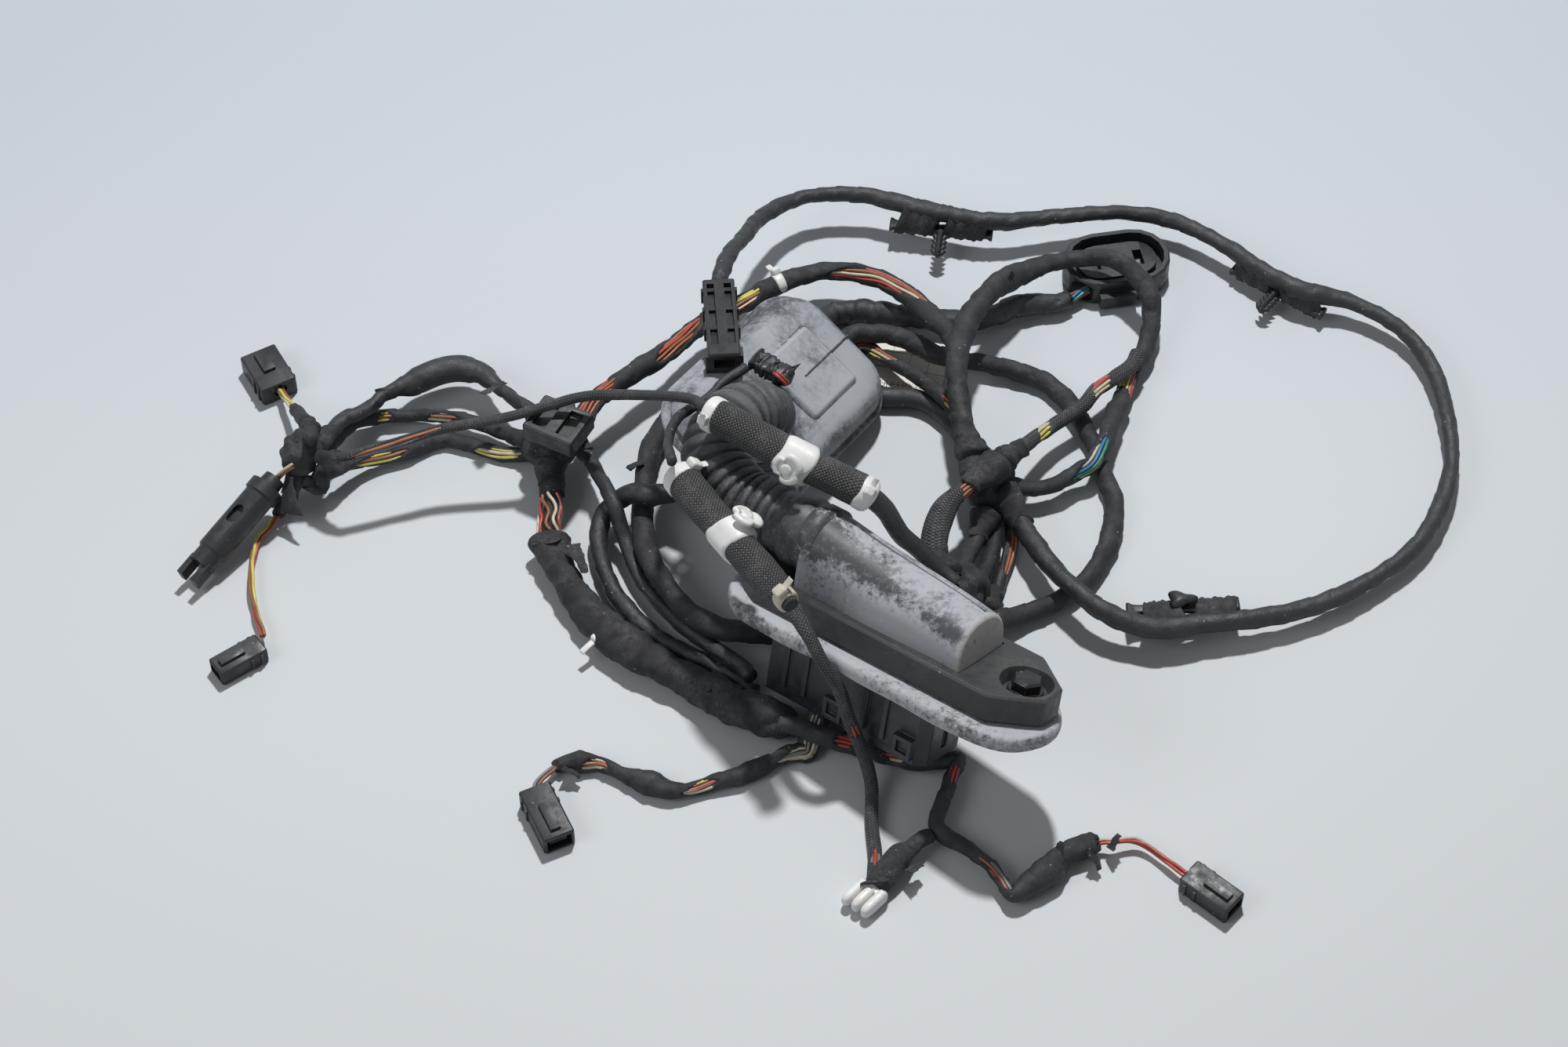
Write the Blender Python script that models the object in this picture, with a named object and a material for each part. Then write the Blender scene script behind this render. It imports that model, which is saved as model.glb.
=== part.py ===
"""Front door wiring harness, lying loose on a table.

A rubber boot over a connector block, a bellows hose to a hollow grommet, and the taped
bundles, sleeves, clips and plugs around them. Metres, +Z up, table at z = 0.
"""

import math

import bmesh
import bpy
import numpy as np
from mathutils import Matrix, Vector

# Fit between touching pieces
GAP = 0.0003

# Pillar connector, in its own frame: +X along the flange to the bolt, +Z out of the pillar
PILLAR_AT = (0.0147, -0.0636, 0.0369)
PILLAR_YAW = -37.7
PILLAR_RISE = 7.2
PILLAR_LEAN = 21.1
LIP_LENGTH = 0.140
LIP_WIDTH = 0.0430
LIP_SHIFT = -0.0033
LIP_THICK = 0.0070
LIP_ROUND = 0.0026
FRAME_LENGTH = 0.132
FRAME_WIDTH = 0.0366
FRAME_HEIGHT = 0.0113
FRAME_EDGE = 0.0009
NOSE_FLAT = 0.0118
NOSE_CHAMFER = 0.0163
DOME_LEFT = -0.0400
DOME_RIGHT = 0.0345
DOME_WIDTH = 0.0284
DOME_TOP_LEFT = 0.0455
DOME_TOP_RIGHT = 0.0320
DOME_RIM = 0.0012
DOME_END_SLOPE = 0.10
DRUM_DIAMETER = 0.0270
DRUM_LEFT = -0.0515
DRUM_DROP = -0.0006
COLLAR_DIAMETER = 0.0236
COLLAR_LENGTH = 0.0070
BOLT_X = 0.0542
BOLT_FLATS = 0.0100
BOLT_HEAD_HEIGHT = 0.0062
BOLT_FLANGE = 0.0136
BOLT_FLANGE_THICK = 0.0016
BOLT_SHANK = 0.0060
BOLT_LENGTH = 0.0220
WELL_DIAMETER = 0.0200
WELL_DEPTH = 0.0048
BLOCK_LEFT = -0.0450
BLOCK_RIGHT = 0.0262
BLOCK_WIDTH = 0.0268
BLOCK_HEIGHT = 0.0286
BLOCK_CHAMFER = 0.0040
INSERT_WALL = 0.0026
INSERT_DEPTH = 0.0150
CAVITY_ROWS = 2
CAVITY_COLUMNS = 11
CAVITY_PITCH = 0.0054
CAVITY_SIZE = 0.0026
CAVITY_DEPTH = 0.0060

# Door grommet, in its own frame: +X from its middle to the neck, +Z out of its face
GROMMET_AT = (-0.0246, 0.0625, 0.0384)
GROMMET_YAW = -124.0
GROMMET_RISE = 8.0
GROMMET_LEAN = 27.0
GROMMET_LENGTH = 0.0920
GROMMET_WIDTH = 0.0590
GROMMET_HEIGHT = 0.0125
GROMMET_CORNER = 0.0160
GROMMET_WALL = 0.0026
PANEL_SIDE = 0.0280
PANEL_AT = (-0.0140, 0.0010)
PANEL_HEIGHT = 0.0008
SEAM_WIDTH = 0.0010
NECK_AT = (0.0250, 0.0000)
NECK_WELL = 0.0316
NECK_RIM = 0.0022
NECK_HEIGHT = 0.0016

# Bellows hose between the grommet and the pillar boot
HOSE_DIAMETER = 0.0256
HOSE_ROOT = 0.0228
HOSE_RIBS = 11
HOSE_SIDES = 14
HOSE_ROUTE = (
    (-0.0428, 0.0315, 0.0592),
    (-0.0498, 0.0195, 0.0605),
    (-0.0496, 0.0060, 0.0600),
    (-0.0402, -0.0070, 0.0582),
)

# Cord tubes: diameter and the hand-chosen points of each route, in millimetres
CLEARANCE = 0.0003
TUBE_STEP = 2.5
ROUTES = {
    "top_strand": (8.0, (
        (-51, 106.2, 50.8), (-50, 113, 50), (-47, 128, 45), (-41, 146, 36), (-36, 162, 28),
        (-26, 177, 21),
        (-13, 185, 18), (7, 186, 17), (26, 181, 16), (39, 177, 16), (61, 173, 15), (87, 177, 14),
        (113, 180, 13), (135, 176, 12), (154, 163, 12), (168, 149, 12), (183, 138, 12),
        (202, 134, 10), (220, 122, 9), (231, 104, 8), (235, 80, 8), (234, 52, 8), (226, 28, 8),
        (214, 9, 8), (194, -7, 8), (172, -19, 9), (151, -25, 10), (130, -28, 11), (115, -31, 12),
        (103, -29, 13), (92, -24, 15), (83, -15, 16), (75, -3, 14), (67, 13, 13), (62, 25, 13),
        (57, 33, 14),
    )),
    "right_loop": (7.5, (
        (-6, 107, 14.5), (-1, 113, 11.5), (6, 116, 11), (21, 115, 9.5), (37, 107, 7.5),
        (56, 104, 6), (74, 98, 5), (83, 91, 4.5), (90, 79, 4.5), (96, 63, 4.5), (98, 51, 4.5),
        (102, 35, 4.5), (99, 16, 4.5), (92, 1, 4.5), (84, -8, 4.5), (75, -14, 4.5), (63, -20, 5.5),
        (54, -25, 9), (48, -27, 12),
    )),
    "inner_loop": (6.0, (
        (46, 104, 30), (51, 115, 28.5), (59, 128, 25.5), (69, 139, 20.5), (82, 147, 18.5),
        (95, 150, 18), (107, 147, 21), (116, 139, 20), (121, 131, 17), (122, 124, 11),
        (119, 111, 7.5), (112, 97, 6.5), (108, 85, 7), (104, 75, 9), (100, 61, 11.5),
        (94, 49, 11.5), (87, 45, 9.5), (77, 39, 9), (68, 38, 9.5), (62, 38, 11),
    )),
    "woven_lead": (6.0, (
        (115, 103, 13.5), (111, 96, 13), (98, 84, 14.5), (91, 75, 14), (78, 64, 14.5),
        (62, 44, 22.5), (53, 33, 26.5), (43, 24, 26.5), (35, 15, 25), (31, 3, 21.5), (32, -5, 19),
        (37, -14, 18),
    )),
    "yellow_lead": (5.5, (
        (-4, 108, 5), (1, 113, 3.5), (7, 115, 3.5), (15, 106, 6.5), (27, 94, 10), (38, 80, 12.5),
        (42, 72, 12.5), (48, 59, 13.5), (50, 52, 14.5), (54, 43, 16.5),
    )),
    "main_left": (8.0, (
        (-112, 51, 23), (-106, 58, 22), (-99, 71, 22.5), (-87, 84, 21.5), (-72, 99, 19),
        (-57, 117, 16.5), (-41, 128, 16), (-26, 139, 16), (-7, 145, 16), (12, 140, 17),
        (25, 129, 18), (32, 118, 20), (40, 103, 24.5), (42, 87, 27), (42, 73, 26), (44, 56, 22),
        (47, 42, 20), (51, 33, 17.5),
    )),
    "oblong_lead": (8.5, (
        (-12, 108, 10), (-13, 118, 9), (-8, 129, 6), (-3, 132, 5), (6, 132, 5), (25, 129, 6),
        (47, 126, 7), (57, 128, 7), (69, 134, 7), (86, 137, 6), (98, 144, 6),
    )),
    "smooth_lead": (8.0, (
        (-7, 93, 8), (1, 89, 6), (7, 89, 4.5), (15, 88, 4.5), (27, 87, 4.5), (36, 81, 4.5), (44, 70, 4.5),
        (48, 58, 5.5), (53, 44, 8.5),
    )),
    "near_lead": (8.0, (
        (-22, 93, 16), (-32, 92, 18), (-41, 91, 19), (-49, 94, 15), (-55, 94, 11), (-63, 91, 7.5),
        (-72, 73, 6), (-78, 57, 7), (-80, 32, 8.5), (-78, 6, 12.5), (-70, -12, 13.5),
        (-61, -26, 15), (-50, -33, 15), (-37, -32, 10.5), (-23, -30, 6), (-8, -31, 5),
        (10, -29, 7), (27, -26, 9.5), (34, -26, 12),
    )),
    "cross_lead": (7.0, (
        (-17, 89, 14), (-30, 77, 18), (-39, 63, 15.5), (-50, 46, 15.5), (-65, 31, 17),
        (-75, 27, 19), (-86, 29, 16), (-95, 24, 9.5), (-96, 11, 6.5), (-91, -7, 5.5),
        (-82, -21, 5), (-70, -32, 4), (-55, -41, 4), (-43, -49, 4), (-37, -55, 4),
    )),
    "thin_lead": (5.5, (
        (-111, 62, 12.5), (-103, 53, 13.5), (-98, 42, 15), (-91, 24, 19), (-86, 12, 10),
        (-79, -5, 6), (-66, -24, 7.5), (-51, -39, 10), (-42, -47, 11.5), (-38, -54, 13.5),
    )),
    "trunk": (12.0, (
        (-116, 51, 13.5), (-116, 46, 11), (-115, 32, 9), (-115, 13, 8), (-104, -13, 8),
        (-90, -31, 8), (-69, -46, 7), (-51, -58, 7.5), (-41, -64, 7.5),
    )),
    "far_lead_one": (6.0, (
        (-121, 58, 19), (-123, 68, 17.5), (-130, 76, 16), (-137, 84, 14), (-145, 93, 12.5),
        (-153, 96, 12.5), (-162, 94, 13), (-174, 87, 13), (-183, 81, 14), (-188, 74, 14.5),
        (-197, 67, 16), (-203, 56, 19), (-206, 47, 22.5),
    )),
    "far_lead_two": (5.0, (
        (-121, 58, 12), (-127, 62, 9.5), (-136, 68, 7), (-149, 74, 6.5), (-162, 77, 6),
        (-174, 78, 5), (-186, 76, 6.5), (-195, 72, 8), (-201, 61, 11), (-205, 51, 14),
    )),
    "far_lead_three": (5.0, (
        (-121, 59, 5), (-136, 60, 3), (-149, 65, 3), (-161, 67, 3.5), (-173, 60, 4.5),
        (-185, 55, 6), (-193, 50, 10), (-200, 43, 14), (-204, 41, 17),
    )),
    "fine_lead": (4.0, (
        (-55, 24, 74.5), (-61, 33, 69), (-79, 46, 55.5), (-100, 54, 45.5), (-115, 54, 40),
        (-130, 51, 37), (-145, 49, 35), (-157, 47, 34), (-169, 43, 33), (-187, 37, 32),
        (-193, 36, 31), (-199, 38, 28), (-204, 40, 25),
    )),
    "sleeve_one": (13.0, (
        (-53, 15, 82.5), (-43, 8, 83), (-24, -6, 83.5), (-9, -14, 81.5), (4, -20, 78.5),
        (11, -19, 68), (17, -17, 51.5), (24, -15, 39.5), (31, -16, 29.5), (38, -20, 25),
    )),
    "sleeve_two": (13.0, (
        (-64.3, -2.6, 68.1), (-55, -19, 71), (-45, -34, 72), (-34, -51, 74), (-23, -68, 76),
    )),
    "plug_lead_woven": (5.0, (
        (-22, -59, 60.5), (-19, -65, 60.5), (-16, -70, 58), (-11, -76, 50), (-6, -79, 40.5),
        (-2, -84, 28), (3, -89, 15), (6, -97, 6.5), (6, -111, 3), (7, -124, 3.5),
    )),
    "cut_lead": (4.5, (
        (-66, -8, 82.5), (-68, 9, 72.5), (-65, 26, 66), (-55, 40, 60), (-48, 48, 61), (-40, 55, 61),
    )),
    "lower_lead": (6.5, (
        (-17, -80, 4), (-20, -81, 4), (-26, -83, 4), (-39, -90, 3.5), (-48, -93, 3.5),
        (-63, -98, 4), (-74, -95, 4), (-86, -90, 4), (-94, -86, 4), (-106, -86, 3.5),
        (-111, -90, 4), (-115, -95, 4.5), (-116, -98, 4.5),
    )),
    "right_lead": (6.5, (
        (-27, -74, 13), (-19, -77, 13), (-11, -79, 11), (-3, -80, 8.5), (6, -82, 7), (20, -86, 6.5),
        (32, -86, 5.5), (38, -85, 5.5), (36, -91, 5.5), (33, -100, 5.5), (29, -113, 5.5),
        (32, -118, 5.5), (39, -123, 5.5), (47, -130, 5.5), (51, -136, 5.5), (55, -143, 5.5),
        (61, -139, 5.5), (69, -133, 5.5), (75, -126, 5.5), (87, -121, 5.5), (92, -121, 5.5),
        (101, -120, 4.5), (109, -126, 4.3), (116, -132.6, 4.2), (119.3, -135.4, 4.2),
    )),
    "fork_lead": (5.0, (
        (26.6, -118, 5.5), (23, -121, 6.5), (19, -125, 7), (15, -129, 7.5), (11, -134, 6.5),
        (7.2, -138.8, 4.3),
    )),
    "down_lead_one": (6.0, (
        (52, 25, 12.5), (49, 16, 10), (44, 5, 8.5), (41, -5, 9), (41, -12, 9.5),
    )),
    "down_lead_two": (5.0, (
        (56, 25, 7), (55, 15, 6), (52, 3, 6.5), (48, -9, 10.5), (46, -21, 14.5),
    )),
    "down_lead_three": (5.0, (
        (61, 28, 5.5), (62, 17, 3), (58, 2, 3), (54, -10, 4), (49, -19, 7.5),
    )),
    "square_plug_lead": (5.0, (
        (-226, 92, 5), (-223, 86, 7), (-218, 76, 12), (-213, 65, 19.5), (-208, 53, 27),
        (-206, 42, 34),
    )),
    "cylinder_lead": (5.0, (
        (-213, 38, 24), (-217, 37, 21.5), (-221, 36, 17),
    )),
    "small_plug_lead": (5.0, (
        (-213, 39, 17.5), (-216, 35, 10), (-219, 32, 5.5), (-223, 25, 3), (-228, 16, 3),
        (-228, -3, 4), (-225, -17, 4), (-222, -25, 4), (-221, -29, 4),
    )),
}
# Where a tube is thicker or thinner than its diameter: (share of its length, factor) pairs
TAPERS = {
    "trunk": ((0.0, 0.85), (1.0, 1.05)),
    "woven_lead": ((0.0, 1.0), (0.62, 1.0), (0.70, 1.7), (1.0, 1.7)),
    "fork_lead": ((0.0, 1.0), (0.5, 2.0), (0.8, 2.6), (1.0, 1.3)),
    "sleeve_one": ((0.0, 1.0), (0.60, 1.0), (0.66, 0.7), (1.0, 0.7)),
    "right_lead": ((0.0, 1.5), (0.26, 1.5), (0.32, 1.0), (1.0, 1.0)),
    "main_left": ((0.0, 1.0), (0.66, 1.0), (0.70, 1.22), (0.74, 1.0), (1.0, 1.0)),
}
# Taped lumps where cords join: middle, half length, radius and direction, in millimetres
LUMPS = {
    "lower_knot": ((53, 37, 16), 13, 12, (0.25, 0.45, -0.05)),
    "grommet_breakout": ((-12, 98, 12.5), 17, 8.5, (0.5, 0.85, -0.15)),
    "left_breakout": ((-116, 54, 15), 12, 10, (1, 0.15, 0)),
    "far_left_breakout": ((-211, 46, 22), 11, 9, (-1, 0.2, 0.1)),
    "trunk_breakout": ((-36, -67.4, 9.0), 13, 8.5, (0.35, -1, 0)),
    "rear_breakout": ((42, -15, 14), 12, 11, (0.3, 0.9, 0)),
}


def clear_scene():
    for obj in list(bpy.data.objects):
        bpy.data.objects.remove(obj, do_unlink=True)


def material(name, color, roughness, metallic=0.0):
    made = bpy.data.materials.new(name)
    made.use_nodes = True
    shader = made.node_tree.nodes["Principled BSDF"]
    shader.inputs["Base Color"].default_value = (*color, 1)
    shader.inputs["Roughness"].default_value = roughness
    shader.inputs["Metallic"].default_value = metallic
    return made


def add(name, mesh, finish, parent=None):
    """A new object from a bmesh or a mesh, in the frame of its parent."""
    if isinstance(mesh, bmesh.types.BMesh):
        bmesh.ops.recalc_face_normals(mesh, faces=mesh.faces)
        data = bpy.data.meshes.new(name)
        mesh.to_mesh(data)
        mesh.free()
        mesh = data
    obj = bpy.data.objects.new(name, mesh)
    bpy.context.scene.collection.objects.link(obj)
    obj.parent = parent
    if finish is None:
        obj.hide_render = True
        obj.display_type = "WIRE"
    else:
        obj.data.materials.append(finish)
    return obj


def boolean(obj, cutter, operation):
    modifier = obj.modifiers.new(operation.lower() + " " + cutter.name, "BOOLEAN")
    modifier.object = cutter
    modifier.operation = operation
    modifier.solver = "EXACT"


def cut(obj, mesh, parent=None):
    boolean(obj, add(obj.name + " cutter", mesh, None, parent or obj.parent), "DIFFERENCE")


def join(obj, mesh, parent=None):
    boolean(obj, add(obj.name + " addition", mesh, None, parent or obj.parent), "UNION")


def bevel(obj, width, segments=1, angle=40):
    modifier = obj.modifiers.new("edges", "BEVEL")
    modifier.width = width
    modifier.segments = segments
    modifier.limit_method = "ANGLE"
    modifier.angle_limit = math.radians(angle)
    modifier.use_clamp_overlap = True


def loft(rings, flat=True):
    """A skin over rings of the same number of points, capped at both ends. Bent faces are split."""
    mesh = bmesh.new()
    rows = [[mesh.verts.new(p) for p in ring] for ring in rings]
    for low, high in zip(rows, rows[1:]):
        for i in range(len(low)):
            j = (i + 1) % len(low)
            mesh.faces.new((low[i], low[j], high[j], high[i]))
    mesh.faces.new(rows[0][::-1])
    mesh.faces.new(rows[-1])
    if not flat:
        bmesh.ops.triangulate(mesh, faces=mesh.faces)
    return mesh


def prism(outline, bottom, top):
    return loft([[(x, y, z) for x, y in outline] for z in (bottom, top)])


def box(low, high):
    outline = [(low[0], low[1]), (high[0], low[1]), (high[0], high[1]), (low[0], high[1])]
    return prism(outline, low[2], high[2])


def turned(profile, sides=24, centre=(0, 0)):
    """A profile of (radius, height) turned about +Z, solid between its first and last points."""
    rings = []
    for radius, height in profile:
        ring = []
        for i in range(sides):
            a = 2 * math.pi * i / sides
            ring.append((centre[0] + radius * math.cos(a), centre[1] + radius * math.sin(a), height))
        rings.append(ring)
    return loft(rings)


def obround(length, width, arc=9):
    """The outline of a slot with round ends."""
    radius, reach = width / 2, (length - width) / 2
    angles = [math.pi * (i / (arc - 1) - 0.5) for i in range(arc)]
    right = [(reach + radius * math.cos(a), radius * math.sin(a)) for a in angles]
    return right + [(-x, -y) for x, y in right]


def rounded_box_outline(left, right, width, corner, arc=4):
    """A rectangle from left to right with round corners."""
    points = []
    for cx, cy, start in (
        (right - corner, -width / 2 + corner, -90),
        (right - corner, width / 2 - corner, 0),
        (left + corner, width / 2 - corner, 90),
        (left + corner, -width / 2 + corner, 180),
    ):
        for i in range(arc):
            a = math.radians(start + 90 * i / (arc - 1))
            points.append((cx + corner * math.cos(a), cy + corner * math.sin(a)))
    return points


def empty(name, matrix):
    obj = bpy.data.objects.new(name, None)
    bpy.context.scene.collection.objects.link(obj)
    obj.matrix_world = matrix
    return obj


def frame_matrix(at, *angles):
    """A frame from its place, the turn of +X about the vertical, its rise, and the lean of +Z sideways."""
    yaw, rise, lean = (math.radians(a) for a in angles)
    along = Vector((math.cos(yaw) * math.cos(rise), math.sin(yaw) * math.cos(rise), math.sin(rise)))
    side = Vector((-math.sin(yaw), math.cos(yaw), 0))
    up = along.cross(side)
    out = math.cos(lean) * up + math.sin(lean) * side
    across = out.cross(along)
    turn = Matrix((along, across, out)).transposed().to_4x4()
    return Matrix.Translation(at) @ turn


def dome_section(share):
    """One rib of the dome: straight sides and an arched top that falls from the neck to the bolt end."""
    x = DOME_LEFT + share * (DOME_RIGHT - DOME_LEFT)
    top = DOME_TOP_LEFT + share * (DOME_TOP_RIGHT - DOME_TOP_LEFT)
    half = DOME_WIDTH / 2
    # The arch is round at the neck and flattens towards the bolt
    power = 1.0 + 0.55 * share
    shoulder = top - half * (1.0 - 0.45 * share)
    points = [(x, -half, LIP_THICK / 2)]
    for i in range(13):
        a = math.pi * i / 12
        c, s = math.cos(a), math.sin(a)
        y = -half * math.copysign(abs(c) ** (1 / power), c)
        z = shoulder + (top - shoulder) * s ** (1 / power)
        points.append((x, y, z))
    points.append((x, half, LIP_THICK / 2))
    return points


def collar_centre():
    """The height of the collar's axis over the lip, in the pillar frame."""
    return DOME_TOP_LEFT - DRUM_DROP - DRUM_DIAMETER / 2


def along_x(mesh, x, z):
    """Lays a turned mesh down, from +Z to -X, with its foot at x."""
    turn = Matrix.Translation((x, 0, z)) @ Matrix.Rotation(math.radians(-90), 4, "Y")
    bmesh.ops.transform(mesh, matrix=turn, verts=mesh.verts)
    return mesh


def pillar_boot(frame, rubber):
    outline = [(x, y + LIP_SHIFT) for x, y in obround(LIP_LENGTH, LIP_WIDTH, 11)]
    boot = add("pillar_boot", prism(outline, 0, LIP_THICK), rubber, frame)
    bevel(boot, LIP_ROUND, 2, 60)
    shares = [0.0, 0.12, 0.35, 0.6, 0.85, 0.94, 1.0]
    rings = [dome_section(s) for s in shares]
    # The bolt end leans back a little, and its rim is rounded
    inner = [(y * 0.93, z - DOME_RIM if z > LIP_THICK else z) for x, y, z in rings[-1]]
    rings[-1] = [(DOME_RIGHT - DOME_END_SLOPE * (z - LIP_THICK / 2), y, z) for y, z in inner]
    join(boot, loft(rings, flat=False))
    drum, collar = DRUM_DIAMETER / 2, COLLAR_DIAMETER / 2
    reach = DOME_LEFT - DRUM_LEFT
    profile = [
        (drum, -0.004),
        (drum, reach - 0.0012),
        (drum - 0.0012, reach),
        (collar, reach),
        (collar, reach + COLLAR_LENGTH),
    ]
    join(boot, along_x(turned(profile, 20), DOME_LEFT, collar_centre()))
    cut(boot, turned([(BOLT_SHANK / 2 + GAP, -0.01), (BOLT_SHANK / 2 + GAP, 0.02)], 16, (BOLT_X, 0)))
    return boot


def boot_frame(frame, plastic):
    half, end = FRAME_WIDTH / 2, FRAME_LENGTH / 2
    outline = [
        (end, -NOSE_FLAT / 2),
        (end, NOSE_FLAT / 2),
        (end - NOSE_CHAMFER, half),
        (-end + NOSE_CHAMFER * 0.8, half),
        (-end + NOSE_CHAMFER * 0.25, half * 0.72),
        (-end, half * 0.3),
        (-end, -half * 0.3),
        (-end + NOSE_CHAMFER * 0.25, -half * 0.72),
        (-end + NOSE_CHAMFER * 0.8, -half),
        (end - NOSE_CHAMFER, -half),
    ]
    bottom = LIP_THICK + GAP
    plate = add("boot_frame", prism(outline, bottom, bottom + FRAME_HEIGHT), plastic, frame)
    bevel(plate, FRAME_EDGE, 1, 30)
    reach = DOME_WIDTH / 2 + GAP
    cut(plate, box((DOME_LEFT - GAP, -reach, 0), (DOME_RIGHT + GAP, reach, 0.03)))
    top = bottom + FRAME_HEIGHT
    well = [(WELL_DIAMETER / 2 - 0.0018, top - WELL_DEPTH), (WELL_DIAMETER / 2 + 0.0006, top + 0.002)]
    cut(plate, turned(well, 24, (BOLT_X, 0)))
    cut(plate, turned([(BOLT_SHANK / 2 + GAP, 0), (BOLT_SHANK / 2 + GAP, top)], 16, (BOLT_X, 0)))
    return plate


def captive_bolt(frame, steel):
    """A hex head with a round flange, its shank through the frame and the lip."""
    seat = LIP_THICK + GAP + FRAME_HEIGHT - WELL_DEPTH + GAP
    profile = [
        (BOLT_SHANK / 2, seat - BOLT_LENGTH),
        (BOLT_SHANK / 2, seat),
        (BOLT_FLANGE / 2, seat),
        (BOLT_FLANGE / 2 - 0.0004, seat + BOLT_FLANGE_THICK),
        (BOLT_FLATS * 0.42, seat + BOLT_FLANGE_THICK),
    ]
    bolt = add("captive_bolt", turned(profile, 24, (BOLT_X, 0)), steel, frame)
    across = BOLT_FLATS / math.sqrt(3)
    corners = [math.radians(60 * i) for i in range(6)]
    top = seat + BOLT_HEAD_HEIGHT
    rings = []
    for radius, z in ((across, seat + 0.0006), (across, top - 0.0009), (across * 0.86, top)):
        rings.append([(BOLT_X + radius * math.cos(a), radius * math.sin(a), z) for a in corners])
    join(bolt, loft(rings))
    return bolt


def connector_block(frame, plastic):
    """The housing under the lip: an octagonal end, ribs and latch windows on its long side."""
    half = BLOCK_WIDTH / 2
    outline = [
        (BLOCK_RIGHT, -half + BLOCK_CHAMFER),
        (BLOCK_RIGHT, half - BLOCK_CHAMFER),
        (BLOCK_RIGHT - BLOCK_CHAMFER, half),
        (BLOCK_LEFT, half),
        (BLOCK_LEFT, -half),
        (BLOCK_RIGHT - BLOCK_CHAMFER, -half),
    ]
    block = add("connector_block", prism(outline, -BLOCK_HEIGHT, -GAP), plastic, frame)
    base = -BLOCK_HEIGHT
    left, right = BLOCK_LEFT + INSERT_WALL, BLOCK_RIGHT - BLOCK_CHAMFER - INSERT_WALL
    side = half - INSERT_WALL
    cut(block, box((left, -side, base - 0.01), (right, side, base + INSERT_DEPTH)))
    for x in (-0.037, -0.028, -0.001, 0.008):
        join(block, box((x - 0.0011, -half - 0.0014, base + 0.005), (x + 0.0011, -half + 0.0005, -0.002)))
    for x in (-0.0135, 0.0180):
        join(block, box((x - 0.0042, -half - 0.0030, base + 0.0030), (x + 0.0042, -half + 0.0005, base + 0.0115)))
        cut(block, box((x - 0.0024, -half - 0.0050, base + 0.0048), (x + 0.0024, -half - 0.0012, base + 0.0096)))
    cut(block, box((BLOCK_RIGHT - 0.0012, -0.0020, base + 0.004), (BLOCK_RIGHT + 0.01, 0.0010, -0.004)))
    return block


def terminal_insert(frame, plastic):
    """The carrier of the terminals, flush with the housing's mating face."""
    half = BLOCK_WIDTH / 2 - INSERT_WALL - GAP
    low = (BLOCK_LEFT + INSERT_WALL + GAP, -half, -BLOCK_HEIGHT)
    high = (BLOCK_RIGHT - BLOCK_CHAMFER - INSERT_WALL - GAP, half, -BLOCK_HEIGHT + INSERT_DEPTH - GAP)
    insert = add("terminal_insert", box(low, high), plastic, frame)
    middle = (low[0] + high[0]) / 2
    reach = CAVITY_SIZE / 2
    bottom, top = -BLOCK_HEIGHT - 0.002, -BLOCK_HEIGHT + CAVITY_DEPTH
    for row in range(CAVITY_ROWS):
        for column in range(CAVITY_COLUMNS):
            x = middle + (column - (CAVITY_COLUMNS - 1) / 2) * CAVITY_PITCH
            y = (row - (CAVITY_ROWS - 1) / 2) * CAVITY_PITCH * 1.7
            cut(insert, box((x - reach, y - reach, bottom), (x + reach, y + reach, top)))
    return insert


def grommet_ring(inset, height):
    end = GROMMET_LENGTH / 2 - inset
    outline = rounded_box_outline(-end, end, GROMMET_WIDTH - 2 * inset, GROMMET_CORNER - inset, 5)
    return [(x, y, height) for x, y in outline]


def door_grommet(frame, rubber):
    """A hollow cap, open at its back, with a lip, a seat for the door's edge, a raised panel and a neck."""
    depth = -GROMMET_HEIGHT
    profile = [
        (-0.0025, depth),
        (-0.0025, depth + 0.0022),
        (0.0006, depth + 0.0030),
        (0.0006, depth + 0.0042),
        (0.0000, depth + 0.0050),
        (0.0010, -0.0055),
        (0.0030, -0.0022),
        (0.0064, 0.0),
    ]
    cap = add("door_grommet", loft([grommet_ring(*p) for p in profile]), rubber, frame)
    x, y = PANEL_AT
    half = PANEL_SIDE / 2
    join(cap, box((x - half, y - half, -0.0015), (x + half, y + half, PANEL_HEIGHT)))
    seam = SEAM_WIDTH / 2
    join(cap, box((-GROMMET_LENGTH / 2 + 0.007, y - seam, -0.0015), (x, y + seam, PANEL_HEIGHT + 0.0006)))
    outer = NECK_WELL / 2 + NECK_RIM
    rim = [(outer + 0.003, -0.0015), (outer + 0.0008, NECK_HEIGHT - 0.0010), (outer - 0.0004, NECK_HEIGHT)]
    join(cap, turned(rim, 24, NECK_AT))
    wall = GROMMET_WALL
    hollow = [
        (wall - 0.0025, depth - 0.002),
        (wall, depth + 0.004),
        (wall + 0.001, -0.0062),
        (wall + 0.004, -wall),
    ]
    cut(cap, loft([grommet_ring(*p) for p in hollow]))
    well = [(NECK_WELL / 2 - 0.0006, -0.008), (NECK_WELL / 2, NECK_HEIGHT + 0.004)]
    cut(cap, turned(well, 24, NECK_AT))
    return cap


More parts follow.
